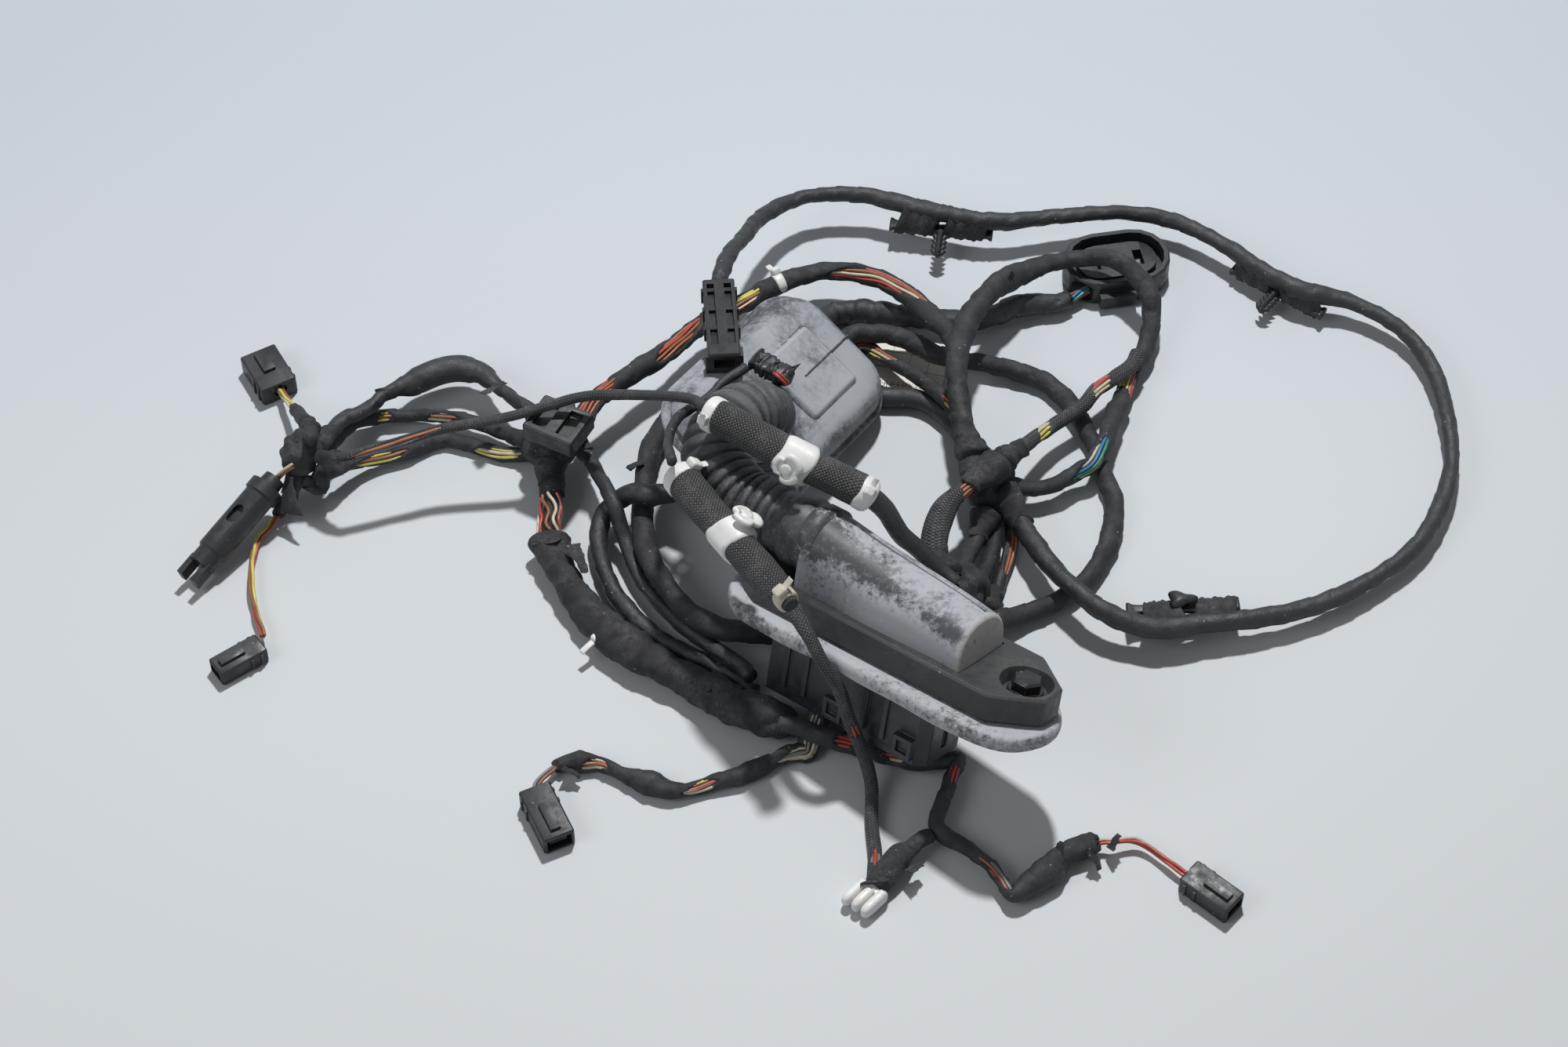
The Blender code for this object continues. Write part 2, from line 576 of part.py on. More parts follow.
def smooth(points, spacing):
    """Points at an even spacing on a Catmull-Rom curve through the given ones."""
    knots = np.array([np.array(p, float) for p in points])
    ends = np.vstack([2 * knots[0] - knots[1], knots, 2 * knots[-1] - knots[-2]])
    t = np.linspace(0, 1, 24, endpoint=False)[:, None]
    dense = []
    for a, b, c, d in zip(ends, ends[1:], ends[2:], ends[3:]):
        square, cube = 2 * a - 5 * b + 4 * c - d, 3 * b - a - 3 * c + d
        dense.append(b + 0.5 * ((c - a) * t + square * t**2 + cube * t**3))
    dense = np.vstack(dense + [knots[-1:]])
    run = np.concatenate([[0], np.cumsum(np.linalg.norm(np.diff(dense, axis=0), axis=1))])
    count = max(2, int(round(run[-1] / spacing)) + 1)
    even = np.linspace(0, run[-1], count)
    return np.stack([np.interp(even, run, dense[:, k]) for k in range(3)], axis=1)


def sweep(path, radii, sides):
    """A closed skin round a path, with a radius for each of its points and no twist between them."""
    path = np.array(path)
    tangent = np.gradient(path, axis=0)
    tangent /= np.linalg.norm(tangent, axis=1)[:, None]
    start = np.cross(tangent[0], (0, 0, 1))
    if np.linalg.norm(start) < 0.1:
        start = np.cross(tangent[0], (1, 0, 0))
    normal = start / np.linalg.norm(start)
    angles = 2 * math.pi * np.arange(sides) / sides
    rings = []
    for point, direction, radius in zip(path, tangent, radii):
        normal = normal - direction * normal.dot(direction)
        normal /= np.linalg.norm(normal)
        other = np.cross(direction, normal)
        rings.append([tuple(point + radius * (math.cos(a) * normal + math.sin(a) * other)) for a in angles])
    return loft(rings, flat=False)


def bellows_hose(pillar, grommet, rubber):
    """A ribbed hose from inside the grommet's neck to the boot's collar."""
    x, y = NECK_AT
    foot = [grommet @ Vector((x, y, z)) for z in (0.0010, 0.0095)]
    reach = DRUM_LEFT - COLLAR_LENGTH - 4 * GAP
    collar = [pillar @ Vector((x, 0, collar_centre())) for x in (reach - 0.005, reach)]
    steps = 3 * HOSE_RIBS + 1
    line = smooth([tuple(p) for p in foot] + list(HOSE_ROUTE) + [tuple(p) for p in collar], 0.0005)
    picks = np.linspace(0, len(line) - 1, steps).round().astype(int)
    wave = np.array([0.0, 1.0, 1.0] * HOSE_RIBS + [0.0])
    radii = HOSE_ROOT / 2 + wave * (HOSE_DIAMETER - HOSE_ROOT) / 2
    return add("bellows_hose", sweep(line[picks], radii, HOSE_SIDES), rubber)


def taper(name, count):
    """The factor on a tube's diameter at each of its points."""
    pairs = TAPERS.get(name, ((0.0, 1.0), (1.0, 1.0)))
    return np.interp(np.linspace(0, 1, count), [p[0] for p in pairs], [p[1] for p in pairs])


def tube_of(name):
    """A cord's path and radii in metres, on the smooth curve through its route."""
    diameter, points = ROUTES[name]
    path = smooth([tuple(v / 1000 for v in p) for p in points], diameter / 1000 * TUBE_STEP)
    return path, diameter / 2000 * taper(name, len(path))


def cord(name, finish):
    diameter = ROUTES[name][0]
    path, radii = tube_of(name)
    curve = bpy.data.curves.new(name, "CURVE")
    curve.dimensions = "3D"
    curve.bevel_depth = diameter / 2000
    curve.bevel_resolution = 2
    curve.use_fill_caps = True
    spline = curve.splines.new("POLY")
    spline.points.add(len(path) - 1)
    for point, place, radius in zip(spline.points, path, radii):
        point.co = (*place, 1)
        point.radius = radius / (diameter / 2000)
    curve.materials.append(finish)
    obj = bpy.data.objects.new(name, curve)
    bpy.context.scene.collection.objects.link(obj)
    return obj


def clear_tubes(obj, middle, reach):
    """Cuts room for each cord that passes or ends within reach of a piece's middle."""
    middle = np.array(middle)
    shares = np.linspace(0, 1, 12)[:, None]
    for name in ROUTES:
        path, radii = tube_of(name)
        steps = []
        for a, b in zip(path, path[1:]):
            steps.append(np.linalg.norm(a + (b - a) * shares - middle, axis=1).min() < reach)
        near = np.nonzero(steps)[0]
        if len(near) == 0:
            continue
        first, last = near[0], near[-1] + 1
        part = list(path[first:last + 1])
        room = list((radii[first:last + 1] + CLEARANCE) / 0.92)
        for end, at, inner in ((0, first, 1), (-1, len(path) - 1 - last, -2)):
            if at == 0:
                step = part[end] - part[inner]
                part[end] = part[end] + step / np.linalg.norm(step) * 0.0005
        boolean(obj, add(obj.name + " clearance " + name, sweep(part, room, 8), None), "DIFFERENCE")


def lump(name, finish):
    """A taped lump: a round body with tapered ends, with room for the cords that enter it."""
    middle, half, radius, direction = LUMPS[name]
    middle, half, radius = np.array(middle) / 1000, half / 1000, radius / 1000
    along = np.array(direction) / np.linalg.norm(direction)
    shares = np.array([-1.0, -0.86, -0.5, 0.0, 0.5, 0.86, 1.0])
    shape = np.array([0.45, 0.72, 0.95, 1.0, 0.95, 0.72, 0.45])
    body = add(name, sweep([middle + along * half * s for s in shares], radius * shape, 10), finish)
    clear_tubes(body, middle, max(half, radius) + 0.004)
    return body


def plug_frame(name, at, yaw, rise=0.0, lean=0.0):
    return empty(name + "_frame", frame_matrix([v / 1000 for v in at], yaw, rise, lean))


def plug(name, at, yaw, size, finish, wall=1.3, latch=True, ribs=2, pocket=0.4):
    """A housing along +X: an open mating end with a tongue, a latch on top, ribs on both sides."""
    frame = plug_frame(name, at, yaw)
    length, width, height = (v / 1000 for v in size)
    end, side, top = length / 2, width / 2, height / 2
    body = add(name, box((-end, -side, -top), (end, side, top)), finish, frame)
    bevel(body, 0.0006, 1, 60)
    wall /= 1000
    deep = length * (1 - pocket) - end
    cut(body, box((deep, -side + wall, -top + wall), (length, side - wall, top - wall)))
    tongue = min(width, height) * 0.16
    join(body, box((deep - 0.001, -width * 0.28, -tongue), (end - 0.0015, width * 0.28, tongue)))
    if latch:
        low = (-length * 0.12, -width * 0.16, top - 0.0004)
        join(body, box(low, (length * 0.38, width * 0.16, top + 0.0014)))
    for i in range(ribs):
        x = -length * 0.36 + i * length * 0.2
        low = (x - 0.0006, -side - 0.0006, -height * 0.36)
        join(body, box(low, (x + 0.0006, side + 0.0006, height * 0.36)))
    clear_tubes(body, frame.matrix_world.translation, length / 2 + 0.004)
    return body


def clamp_block(finish):
    """The square block over the left breakout, with two slots across its top."""
    frame = plug_frame("clamp_block", (-112, 50.6, 31.6), -28, 0, 0)
    body = add("clamp_block", box((-0.011, -0.009, -0.0042), (0.011, 0.009, 0.0042)), finish, frame)
    bevel(body, 0.0008, 1, 60)
    for x in (-0.0052, 0.0052):
        cut(body, box((x - 0.0028, -0.0062, 0.0018), (x + 0.0028, 0.0062, 0.01)))
    join(body, box((-0.0014, 0.0085, -0.003), (0.0014, 0.0106, 0.003)))
    return body


def cylinder_connector(finish):
    """A round housing with a collar at its cord end, an oval window and a forked mating end."""
    frame = plug_frame("cylinder_connector", (-236.0, 16.0, 12.4), 232.5, -13.0, 0)
    turn = Matrix.Rotation(math.radians(90), 4, "Y")
    collar = [(4.2, -25.5), (4.6, -21), (7.0, -21), (7.0, -16.5)]
    profile = collar + [(6.1, -16), (6.1, 12), (5.2, 13), (5.2, 19)]
    mesh = turned([(r / 1000, z / 1000) for r, z in profile], 20)
    bmesh.ops.transform(mesh, matrix=turn, verts=mesh.verts)
    body = add("cylinder_connector", mesh, finish, frame)
    window = obround(0.0085, 0.0042, 5)
    cut(body, prism([(x - 0.004, y) for x, y in window], 0.0035, 0.010))
    for side in (-1, 1):
        join(body, box((0.017, side * 0.0034 - 0.0012, -0.0030), (0.0262, side * 0.0034 + 0.0012, 0.0030)))
    clear_tubes(body, frame.matrix_world @ Vector((-0.024, 0, 0)), 0.004)
    return body


def tall_connector(finish):
    """A slim housing with two deep side channels and a foot, its strand entering at the top."""
    frame = plug_frame("tall_connector", (-49.6, 83.0, 53.7), -86.0, 7.0, 0)
    body = add("tall_connector", box((-0.022, -0.0062, -0.0044), (0.022, 0.0062, 0.0044)), finish, frame)
    bevel(body, 0.0006, 1, 60)
    for y in (-0.0033, 0.0033):
        cut(body, box((-0.019, y - 0.0014, 0.0016), (0.016, y + 0.0014, 0.01)))
    for x in (-0.017, -0.006, 0.005):
        join(body, box((x - 0.0010, -0.0070, -0.003), (x + 0.0010, 0.0070, 0.003)))
    join(body, box((0.0170, -0.0072, -0.0048), (0.0222, 0.0072, 0.0034)))
    cut(body, box((0.0190, -0.0040, -0.0024), (0.03, 0.0040, 0.0018)))
    return body


def oblong_connector(finish):
    """An oval frame with an open rim, a raised core inside it and a latch on its near side."""
    frame = plug_frame("oblong_connector", (110.0, 156.5, 6.7), 10, 0, 0)
    outline = obround(0.044, 0.029, 9)
    body = add("oblong_connector", prism(outline, -0.0065, 0.0055), finish, frame)
    bevel(body, 0.0007, 1, 60)
    rim = obround(0.039, 0.024, 9)
    core = obround(0.033, 0.018, 9)
    ring = add("oblong ring cutter", prism(rim, -0.001, 0.01), None, frame)
    boolean(ring, add("oblong core cutter", prism(core, -0.01, 0.0035), None, frame), "DIFFERENCE")
    boolean(body, ring, "DIFFERENCE")
    for x in (-0.009, 0.0, 0.009):
        cut(body, box((x - 0.0018, -0.0040, -0.001), (x + 0.0018, 0.0040, 0.01)))
    join(body, box((-0.0105, -0.0180, -0.0050), (0.0045, -0.0135, 0.0010)))
    clear_tubes(body, frame.matrix_world.translation, 0.020)
    return body


def fir_tree(body, start, length, turn):
    """Joins a stem with barbs to a body, from a point along an axis."""
    profile = [(1.3, 0.0), (1.3, 2.5)]
    for i in range(3):
        z = 3.0 + i * (length - 3.4) / 3
        profile += [(3.6, z), (3.4, z + 0.7), (1.3, z + 0.9)]
    profile.append((1.0, length))
    mesh = turned([(r / 1000, z / 1000) for r, z in profile], 12)
    mesh.transform(Matrix.Translation([v / 1000 for v in start]) @ turn)
    join(body, mesh)


def edge_clip(name, at, yaw, finish, lean, stud=True):
    """A flat strip laid along a strand, with a barbed stud towards the near side."""
    frame = plug_frame(name, at, yaw)
    body = add(name, box((-0.021, -0.0026, -0.0012), (0.021, 0.0026, 0.0012)), finish, frame)
    bevel(body, 0.0005, 1, 60)
    if stud:
        fir_tree(body, (0, -1.2, 0), 10.5, Matrix.Rotation(math.radians(90 + lean), 4, "X"))
    return body


def sleeve_clip(name, cord_name, share, width, finish, button):
    """A band round a sleeve, with a ribbed button on the outside."""
    path, radii = tube_of(cord_name)
    at = int(share * (len(path) - 1))
    part = share * (len(path) - 1) - at
    along = (path[at + 1] - path[at]) / np.linalg.norm(path[at + 1] - path[at])
    middle = path[at] * (1 - part) + path[at + 1] * part
    ends = [middle - along * width / 2000, middle + along * width / 2000]
    radius = max(radii[at], radii[at + 1])
    band = add(name, sweep(ends, [radius + 0.0022] * 2, 16), finish)
    if button:
        along = Vector(along)
        out = Vector((0, -0.62, 0.79))
        out = (out - along * out.dot(along)).normalized()
        foot = Vector(middle) + out * (radius + 0.0006)
        profile = [(3.0, 0.0), (3.0, 3.6), (5.6, 4.0), (5.6, 5.6), (3.0, 6.2)]
        mesh = turned([(r / 1000, z / 1000) for r, z in profile], 14)
        mesh.transform(Matrix.Translation(foot) @ out.to_track_quat("Z", "Y").to_matrix().to_4x4())
        boolean(band, add(name + " button", mesh, None), "UNION")
    clear_tubes(band, middle, width / 2000 + 0.004)
    return band


def label(finish):
    frame = plug_frame("paper_label", (20.5, 107.0, 0.16), -12)
    return add("paper_label", box((-0.019, -0.018, -0.0001), (0.019, 0.016, 0.0001)), finish, frame)


def main():
    clear_scene()
    rubber = material("weathered_rubber", (0.30, 0.32, 0.34), 0.75)
    frame_plastic = material("frame_plastic", (0.035, 0.036, 0.038), 0.45)
    block_plastic = material("block_plastic", (0.035, 0.038, 0.043), 0.5)
    steel = material("bolt_steel", (0.03, 0.03, 0.032), 0.3, 0.6)
    hose_rubber = material("hose_rubber", (0.06, 0.06, 0.062), 0.7)
    pillar = empty("pillar_frame", frame_matrix(PILLAR_AT, PILLAR_YAW, PILLAR_RISE, PILLAR_LEAN))
    grommet = empty("grommet_frame", frame_matrix(GROMMET_AT, GROMMET_YAW, GROMMET_RISE, GROMMET_LEAN))
    pillar_boot(pillar, rubber)
    boot_frame(pillar, frame_plastic)
    captive_bolt(pillar, steel)
    connector_block(pillar, block_plastic)
    terminal_insert(pillar, block_plastic)
    door_grommet(grommet, rubber)
    bellows_hose(pillar.matrix_world, grommet.matrix_world, hose_rubber)
    tape = material("cloth_tape", (0.022, 0.022, 0.024), 0.85)
    sleeve = material("woven_sleeve", (0.035, 0.035, 0.036), 0.8)
    plastic = material("plug_plastic", (0.025, 0.025, 0.027), 0.4)
    white = material("white_nylon", (0.82, 0.82, 0.80), 0.45)
    paper = material("label_paper", (0.80, 0.80, 0.78), 0.8)
    woven = ("woven_lead", "sleeve_one", "sleeve_two", "plug_lead_woven", "fine_lead")
    for name in ROUTES:
        cord(name, sleeve if name in woven else tape)
    for name in LUMPS:
        lump(name, tape)
    clamp_block(plastic)
    cylinder_connector(plastic)
    tall_connector(plastic)
    oblong_connector(plastic)
    plug("top_left_plug", (-230.8, 99.6, 4.7), 119.6, (21, 15, 9), plastic)
    plug("small_left_plug", (-229.0, -39.5, 3.8), 216.3, (20, 9.5, 7.2), plastic)
    plug("lower_plug", (-111.0, -109.8, 4.5), -64.8, (24, 12, 8.6), plastic)
    plug("right_plug", (125.8, -141.0, 4.2), -41.8, (21, 11, 8), plastic)
    plug("white_plug", (2.8, -143.5, 3.95), 227, (12, 12, 7.5), white, latch=False)
    plug("cut_plug", (-29.3, 55.5, 58.5), -38, (14, 8, 6), plastic)
    edge_clip("top_clip", (39.0, 173.5, 9.9), -8, plastic, -25)
    edge_clip("corner_clip", (175.0, 143.0, 6.0), -36, plastic, -5)
    edge_clip("right_clip", (124.0, -20.6, 11.0), 4, plastic, -5, stud=False)
    sleeve_clip("sleeve_one_clip", "sleeve_one", 0.30, 13, white, True)
    sleeve_clip("sleeve_two_clip", "sleeve_two", 0.50, 13, white, True)
    sleeve_clip("cable_tie", "sleeve_two", 0.95, 3.6, white, False)
    label(paper)


main()
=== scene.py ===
import math

import bmesh
import bpy
import numpy as np
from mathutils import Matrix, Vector


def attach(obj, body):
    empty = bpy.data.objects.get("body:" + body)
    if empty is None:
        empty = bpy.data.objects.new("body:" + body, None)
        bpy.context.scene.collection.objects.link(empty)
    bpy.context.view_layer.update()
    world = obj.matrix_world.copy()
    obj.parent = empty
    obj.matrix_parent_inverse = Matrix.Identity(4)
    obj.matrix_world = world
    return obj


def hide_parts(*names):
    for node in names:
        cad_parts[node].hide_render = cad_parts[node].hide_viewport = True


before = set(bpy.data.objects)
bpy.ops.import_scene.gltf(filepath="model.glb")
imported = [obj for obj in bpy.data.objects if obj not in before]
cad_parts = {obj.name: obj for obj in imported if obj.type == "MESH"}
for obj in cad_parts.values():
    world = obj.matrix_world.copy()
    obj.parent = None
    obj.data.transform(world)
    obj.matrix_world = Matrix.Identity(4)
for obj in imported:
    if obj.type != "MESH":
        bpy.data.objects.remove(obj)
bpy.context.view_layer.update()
print("frame loaded with", len(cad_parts), "nodes")

# Camera, floor and light: the key stands behind the harness, so shadows fall towards the viewer
viewValues = {
    "cameraAt": (-0.0256, -0.7724, 1.0244),
    "cameraTilt": 38.0,
    "lens": 77.22,
    "floorColour": (0.655, 0.690, 0.720),
    # floorFar: the far floor colour, darker as painted falloff of the light, and the backdrop seen past the floor
    "floorFar": (0.55, 0.60, 0.65),
    "floorCloud": (0.50, 0.53, 0.56),
    "fadeFrom": -0.10,
    "fadeTo": 0.38,
    "floorSize": 4.0,
    "keyAt": (0.08, 0.66, 1.62),
    "keyPower": 25.0,
    "keySize": 0.11,
    "sideAt": (-0.9, -0.5, 0.9),
    "sidePower": 2.8,
    "sideSize": 0.7,
    "lampAim": (0, 0, 0.02),
    "ambient": 0.14,
}


def addObject(name, data):
    made = bpy.data.objects.new(name, data)
    bpy.context.scene.collection.objects.link(made)
    return made


def makeCamera(values):
    data = bpy.data.cameras.new("camera")
    data.lens = values["lens"]
    data.sensor_width = 36.0
    data.clip_start, data.clip_end = 0.05, 20.0
    camera = addObject("camera", data)
    camera.location = values["cameraAt"]
    camera.rotation_euler = (math.radians(values["cameraTilt"]), 0, 0)
    bpy.context.scene.camera = camera


makeCamera(viewValues)
bpy.context.scene.view_settings.view_transform = "Standard"
print("camera placed")


# Small helpers for node trees
def place(tree, kind, inputs=None, **settings):
    node = tree.nodes.new(kind)
    for key, value in settings.items():
        setattr(node, key, value)
    for key, value in (inputs or {}).items():
        node.inputs[key].default_value = value
    return node


def wire(tree, start, end):
    tree.links.new(start, end)


def maths(tree, operation, first, second=None, clamp=False):
    node = place(tree, "ShaderNodeMath", operation=operation, use_clamp=clamp)
    for i, value in enumerate((first, second)):
        if value is None:
            continue
        if isinstance(value, (int, float)):
            node.inputs[i].default_value = value
        else:
            wire(tree, value, node.inputs[i])
    return node.outputs[0]


def times(tree, first, second, clamp=False):
    return maths(tree, "MULTIPLY", first, second, clamp)


def plus(tree, first, second, clamp=False):
    return maths(tree, "ADD", first, second, clamp)


def remap(tree, value, low, high, toLow=0.0, toHigh=1.0):
    node = place(
        tree, "ShaderNodeMapRange", {1: low, 2: high, 3: toLow, 4: toHigh}, interpolation_type="SMOOTHSTEP",
    )
    wire(tree, value, node.inputs[0])
    return node.outputs[0]


def mixColour(tree, share, first, second):
    node = place(tree, "ShaderNodeMix", data_type="RGBA")
    for value, socket in ((share, node.inputs[0]), (first, node.inputs[6]), (second, node.inputs[7])):
        if isinstance(value, tuple):
            socket.default_value = (*value, 1)
        elif isinstance(value, (int, float)):
            socket.default_value = value
        else:
            wire(tree, value, socket)
    return node.outputs[2]


def noise(tree, vector, scale, detail=4.0, rough=0.55, distortion=0.0):
    node = place(
        tree, "ShaderNodeTexNoise",
        {"Scale": scale, "Detail": detail, "Roughness": rough, "Distortion": distortion},
    )
    wire(tree, vector, node.inputs["Vector"])
    return node.outputs["Fac"]


# A shader group that takes a vector and some numbers, and gives numbers
def newGroup(name, inputs, outputs):
    group = bpy.data.node_groups.new(name, "ShaderNodeTree")
    group.interface.new_socket("Vector", in_out="INPUT", socket_type="NodeSocketVector")
    for label, value in inputs.items():
        socket = group.interface.new_socket(label, in_out="INPUT", socket_type="NodeSocketFloat")
        socket.default_value = value
    for label in outputs:
        group.interface.new_socket(label, in_out="OUTPUT", socket_type="NodeSocketFloat")
    return group, group.nodes.new("NodeGroupInput"), group.nodes.new("NodeGroupOutput")


def useGroup(tree, group, vector, **values):
    node = place(tree, "ShaderNodeGroup", node_tree=group)
    wire(tree, vector, node.inputs["Vector"])
    for key, value in values.items():
        node.inputs[key].default_value = value
    return node


# Dust: broad cloudy patches times fine grain, and a few bright specks
def makeDustGroup():
    group, given, put = newGroup("dust", {"Patch": 60.0, "Amount": 0.5, "Speck": 900.0}, ("Mask", "Specks"))
    patch = place(group, "ShaderNodeTexNoise", {"Detail": 5.0, "Roughness": 0.6})
    wire(group, given.outputs["Vector"], patch.inputs["Vector"])
    wire(group, given.outputs["Patch"], patch.inputs["Scale"])
    grain = noise(group, given.outputs["Vector"], 700.0, 3.0, 0.7)
    cloud = remap(group, patch.outputs["Fac"], 0.42, 0.66)
    mask = times(group, cloud, remap(group, grain, 0.35, 0.62))
    mask = times(group, mask, given.outputs["Amount"], True)
    cells = place(group, "ShaderNodeTexVoronoi", {"Randomness": 1.0})
    wire(group, given.outputs["Vector"], cells.inputs["Vector"])
    wire(group, given.outputs["Speck"], cells.inputs["Scale"])
    near = remap(group, cells.outputs["Distance"], 0.20, 0.06)
    split = place(group, "ShaderNodeSeparateColor")
    wire(group, cells.outputs["Color"], split.inputs[0])
    rare = maths(group, "GREATER_THAN", split.outputs[0], 0.93)
    wire(group, mask, put.inputs["Mask"])
    wire(group, times(group, near, rare), put.inputs["Specks"])
    return group


# Braid: two families of strands on the diagonals of the piece's own UV. In each small square one family
# lies on top, turn about, and a strand is round across and long along itself.
def makeBraidGroup():
    group, given, put = newGroup("braid", {"Along": 700.0, "Around": 14.0}, ("Height", "Over"))
    split = place(group, "ShaderNodeSeparateXYZ")
    wire(group, given.outputs["Vector"], split.inputs[0])
    u = times(group, split.outputs[0], given.outputs["Along"])
    v = times(group, split.outputs[1], given.outputs["Around"])
    rising, falling = plus(group, u, v), maths(group, "SUBTRACT", u, v)
    count = plus(group, maths(group, "FLOOR", rising), maths(group, "FLOOR", falling))
    over = maths(group, "LESS_THAN", maths(group, "FRACT", times(group, count, 0.5)), 0.25)
    hills = [
        maths(group, "SINE", times(group, maths(group, "FRACT", value), math.pi))
        for value in (rising, falling)
    ]
    first = times(group, maths(group, "POWER", hills[0], 1.4), maths(group, "POWER", hills[1], 0.3))
    second = times(group, maths(group, "POWER", hills[0], 0.3), maths(group, "POWER", hills[1], 1.4))
    one = times(group, first, over)
    other = times(group, second, maths(group, "SUBTRACT", 1.0, over))
    wire(group, plus(group, one, other), put.inputs["Height"])
    wire(group, over, put.inputs["Over"])
    return group


dustGroup = makeDustGroup()
braidGroup = makeBraidGroup()


def newMaterial(name, colour, roughness):
    made = bpy.data.materials.new(name)
    made.use_nodes = True
    made.diffuse_color = (*colour, 1)
    tree = made.node_tree
    shader = tree.nodes["Principled BSDF"]
    shader.inputs["Base Color"].default_value = (*colour, 1)
    shader.inputs["Roughness"].default_value = roughness
    return made, tree, shader


def objectVector(tree):
    return place(tree, "ShaderNodeTexCoord").outputs["Object"]


def uvVector(tree):
    return place(tree, "ShaderNodeTexCoord").outputs["UV"]


def markOf(tree, name):
    return place(tree, "ShaderNodeAttribute", attribute_name=name).outputs["Fac"]


def splitOf(tree, vector):
    split = place(tree, "ShaderNodeSeparateXYZ")
    wire(tree, vector, split.inputs[0])
    return split.outputs


def paint(tree, shader, colour, rough):
    wire(tree, colour, shader.inputs["Base Color"])
    wire(tree, rough, shader.inputs["Roughness"])


def bumpOn(tree, shader, height, strength, distance):
    node = place(tree, "ShaderNodeBump", {"Strength": strength, "Distance": distance})
    wire(tree, height, node.inputs["Height"])
    wire(tree, node.outputs[0], shader.inputs["Normal"])


# Cloth tape: charcoal with worn grey patches, creases across the bundle, fuzz and specks
tapeFinishes = {
    "clothTape": {
        "dark": (0.020, 0.020, 0.022), "worn": (0.060, 0.060, 0.064), "dust": 0.55, "rough": 0.72, "crease": 0.5,
    },
    "satinTape": {
        "dark": (0.022, 0.022, 0.024), "worn": (0.050, 0.050, 0.053), "dust": 0.30, "rough": 0.50, "crease": 0.3,
    },
    "fuzzyTape": {
        "dark": (0.024, 0.024, 0.026), "worn": (0.085, 0.085, 0.090), "dust": 0.80, "rough": 0.85, "crease": 0.8,
    },
}


def makeTape(name, values):
    made, tree, shader = newMaterial(name, values["dark"], values["rough"])
    where = objectVector(tree)
    dust = useGroup(tree, dustGroup, where, Patch=75.0, Amount=values["dust"], Speck=420.0)
    colour = mixColour(tree, dust.outputs["Mask"], values["dark"], values["worn"])
    colour = mixColour(tree, dust.outputs["Specks"], colour, (0.30, 0.30, 0.30))
    paint(
        tree, shader, colour,
        remap(tree, noise(tree, where, 160.0), 0.3, 0.7, values["rough"] - 0.14, values["rough"] + 0.10),
    )
    creases = place(tree, "ShaderNodeTexNoise", {"Scale": 1.0, "Detail": 3.0, "Roughness": 0.5})
    stretch = place(tree, "ShaderNodeMapping", {"Scale": (420.0, 7.0, 1.0)})
    wire(tree, uvVector(tree), stretch.inputs["Vector"])
    wire(tree, stretch.outputs[0], creases.inputs["Vector"])
    cloth = noise(tree, where, 1900.0, 2.0, 0.7)
    height = plus(tree, times(tree, creases.outputs["Fac"], values["crease"]), times(tree, cloth, 0.45))
    bumpOn(tree, shader, height, 0.75, 0.0007)
    return made


# Braided sleeve: strands follow the UV; the gaps between strands are painted dark as shade, the crowns of the strands
# on top get a painted highlight, and dust lies in patches and specks
# dark is the painted shade in the gaps between strands, light the painted highlight on the crowns of the strands on
# top
braidFinishes = {
    "fineBraid": {
        "dark": (0.012, 0.012, 0.013), "strand": (0.062, 0.062, 0.065), "light": (0.17, 0.17, 0.175),
        "along": 800.0, "around": 11.0, "depth": 0.0003,
    },
    "coarseBraid": {
        "dark": (0.011, 0.011, 0.012), "strand": (0.062, 0.061, 0.061), "light": (0.20, 0.195, 0.19),
        "along": 690.0, "around": 28.0, "depth": 0.0005,
    },
}


def makeBraid(name, values):
    made, tree, shader = newMaterial(name, values["strand"], 0.78)
    where = objectVector(tree)
    braid = useGroup(tree, braidGroup, uvVector(tree), Along=values["along"], Around=values["around"])
    dust = useGroup(tree, dustGroup, where, Patch=110.0, Amount=0.55, Speck=500.0)
    # Painted shade: dark in the gaps between strands, the strand colour on their tops
    colour = mixColour(tree, braid.outputs["Height"], values["dark"], values["strand"])
    # Painted highlight: the crowns of the strands on top are lightened towards light
    paintedCrownHighlight = times(tree, times(tree, braid.outputs["Over"], remap(tree, braid.outputs["Height"], 0.55, 0.95)), 0.55)
    colour = mixColour(tree, paintedCrownHighlight, colour, values["light"])
    colour = mixColour(tree, dust.outputs["Mask"], colour, (0.13, 0.13, 0.13))
    colour = mixColour(tree, dust.outputs["Specks"], colour, (0.32, 0.31, 0.30))
    paint(tree, shader, colour, remap(tree, braid.outputs["Height"], 0.0, 1.0, 0.9, 0.62))
    bumpOn(tree, shader, braid.outputs["Height"], 0.8, values["depth"])
    return made


# Old rubber: dark compound under a chalky bloom, mottled where the bloom has rubbed off
rubberFinishes = {
    "bootRubber": {
        "mottle": 2.4, "dark": (0.046, 0.051, 0.058), "bloom": (0.430, 0.450, 0.490), "beige": (0.52, 0.50, 0.475),
    },
    "grommetRubber": {
        "mottle": 1.1, "dark": (0.055, 0.060, 0.066), "bloom": (0.335, 0.360, 0.400), "beige": (0.45, 0.44, 0.42),
    },
}


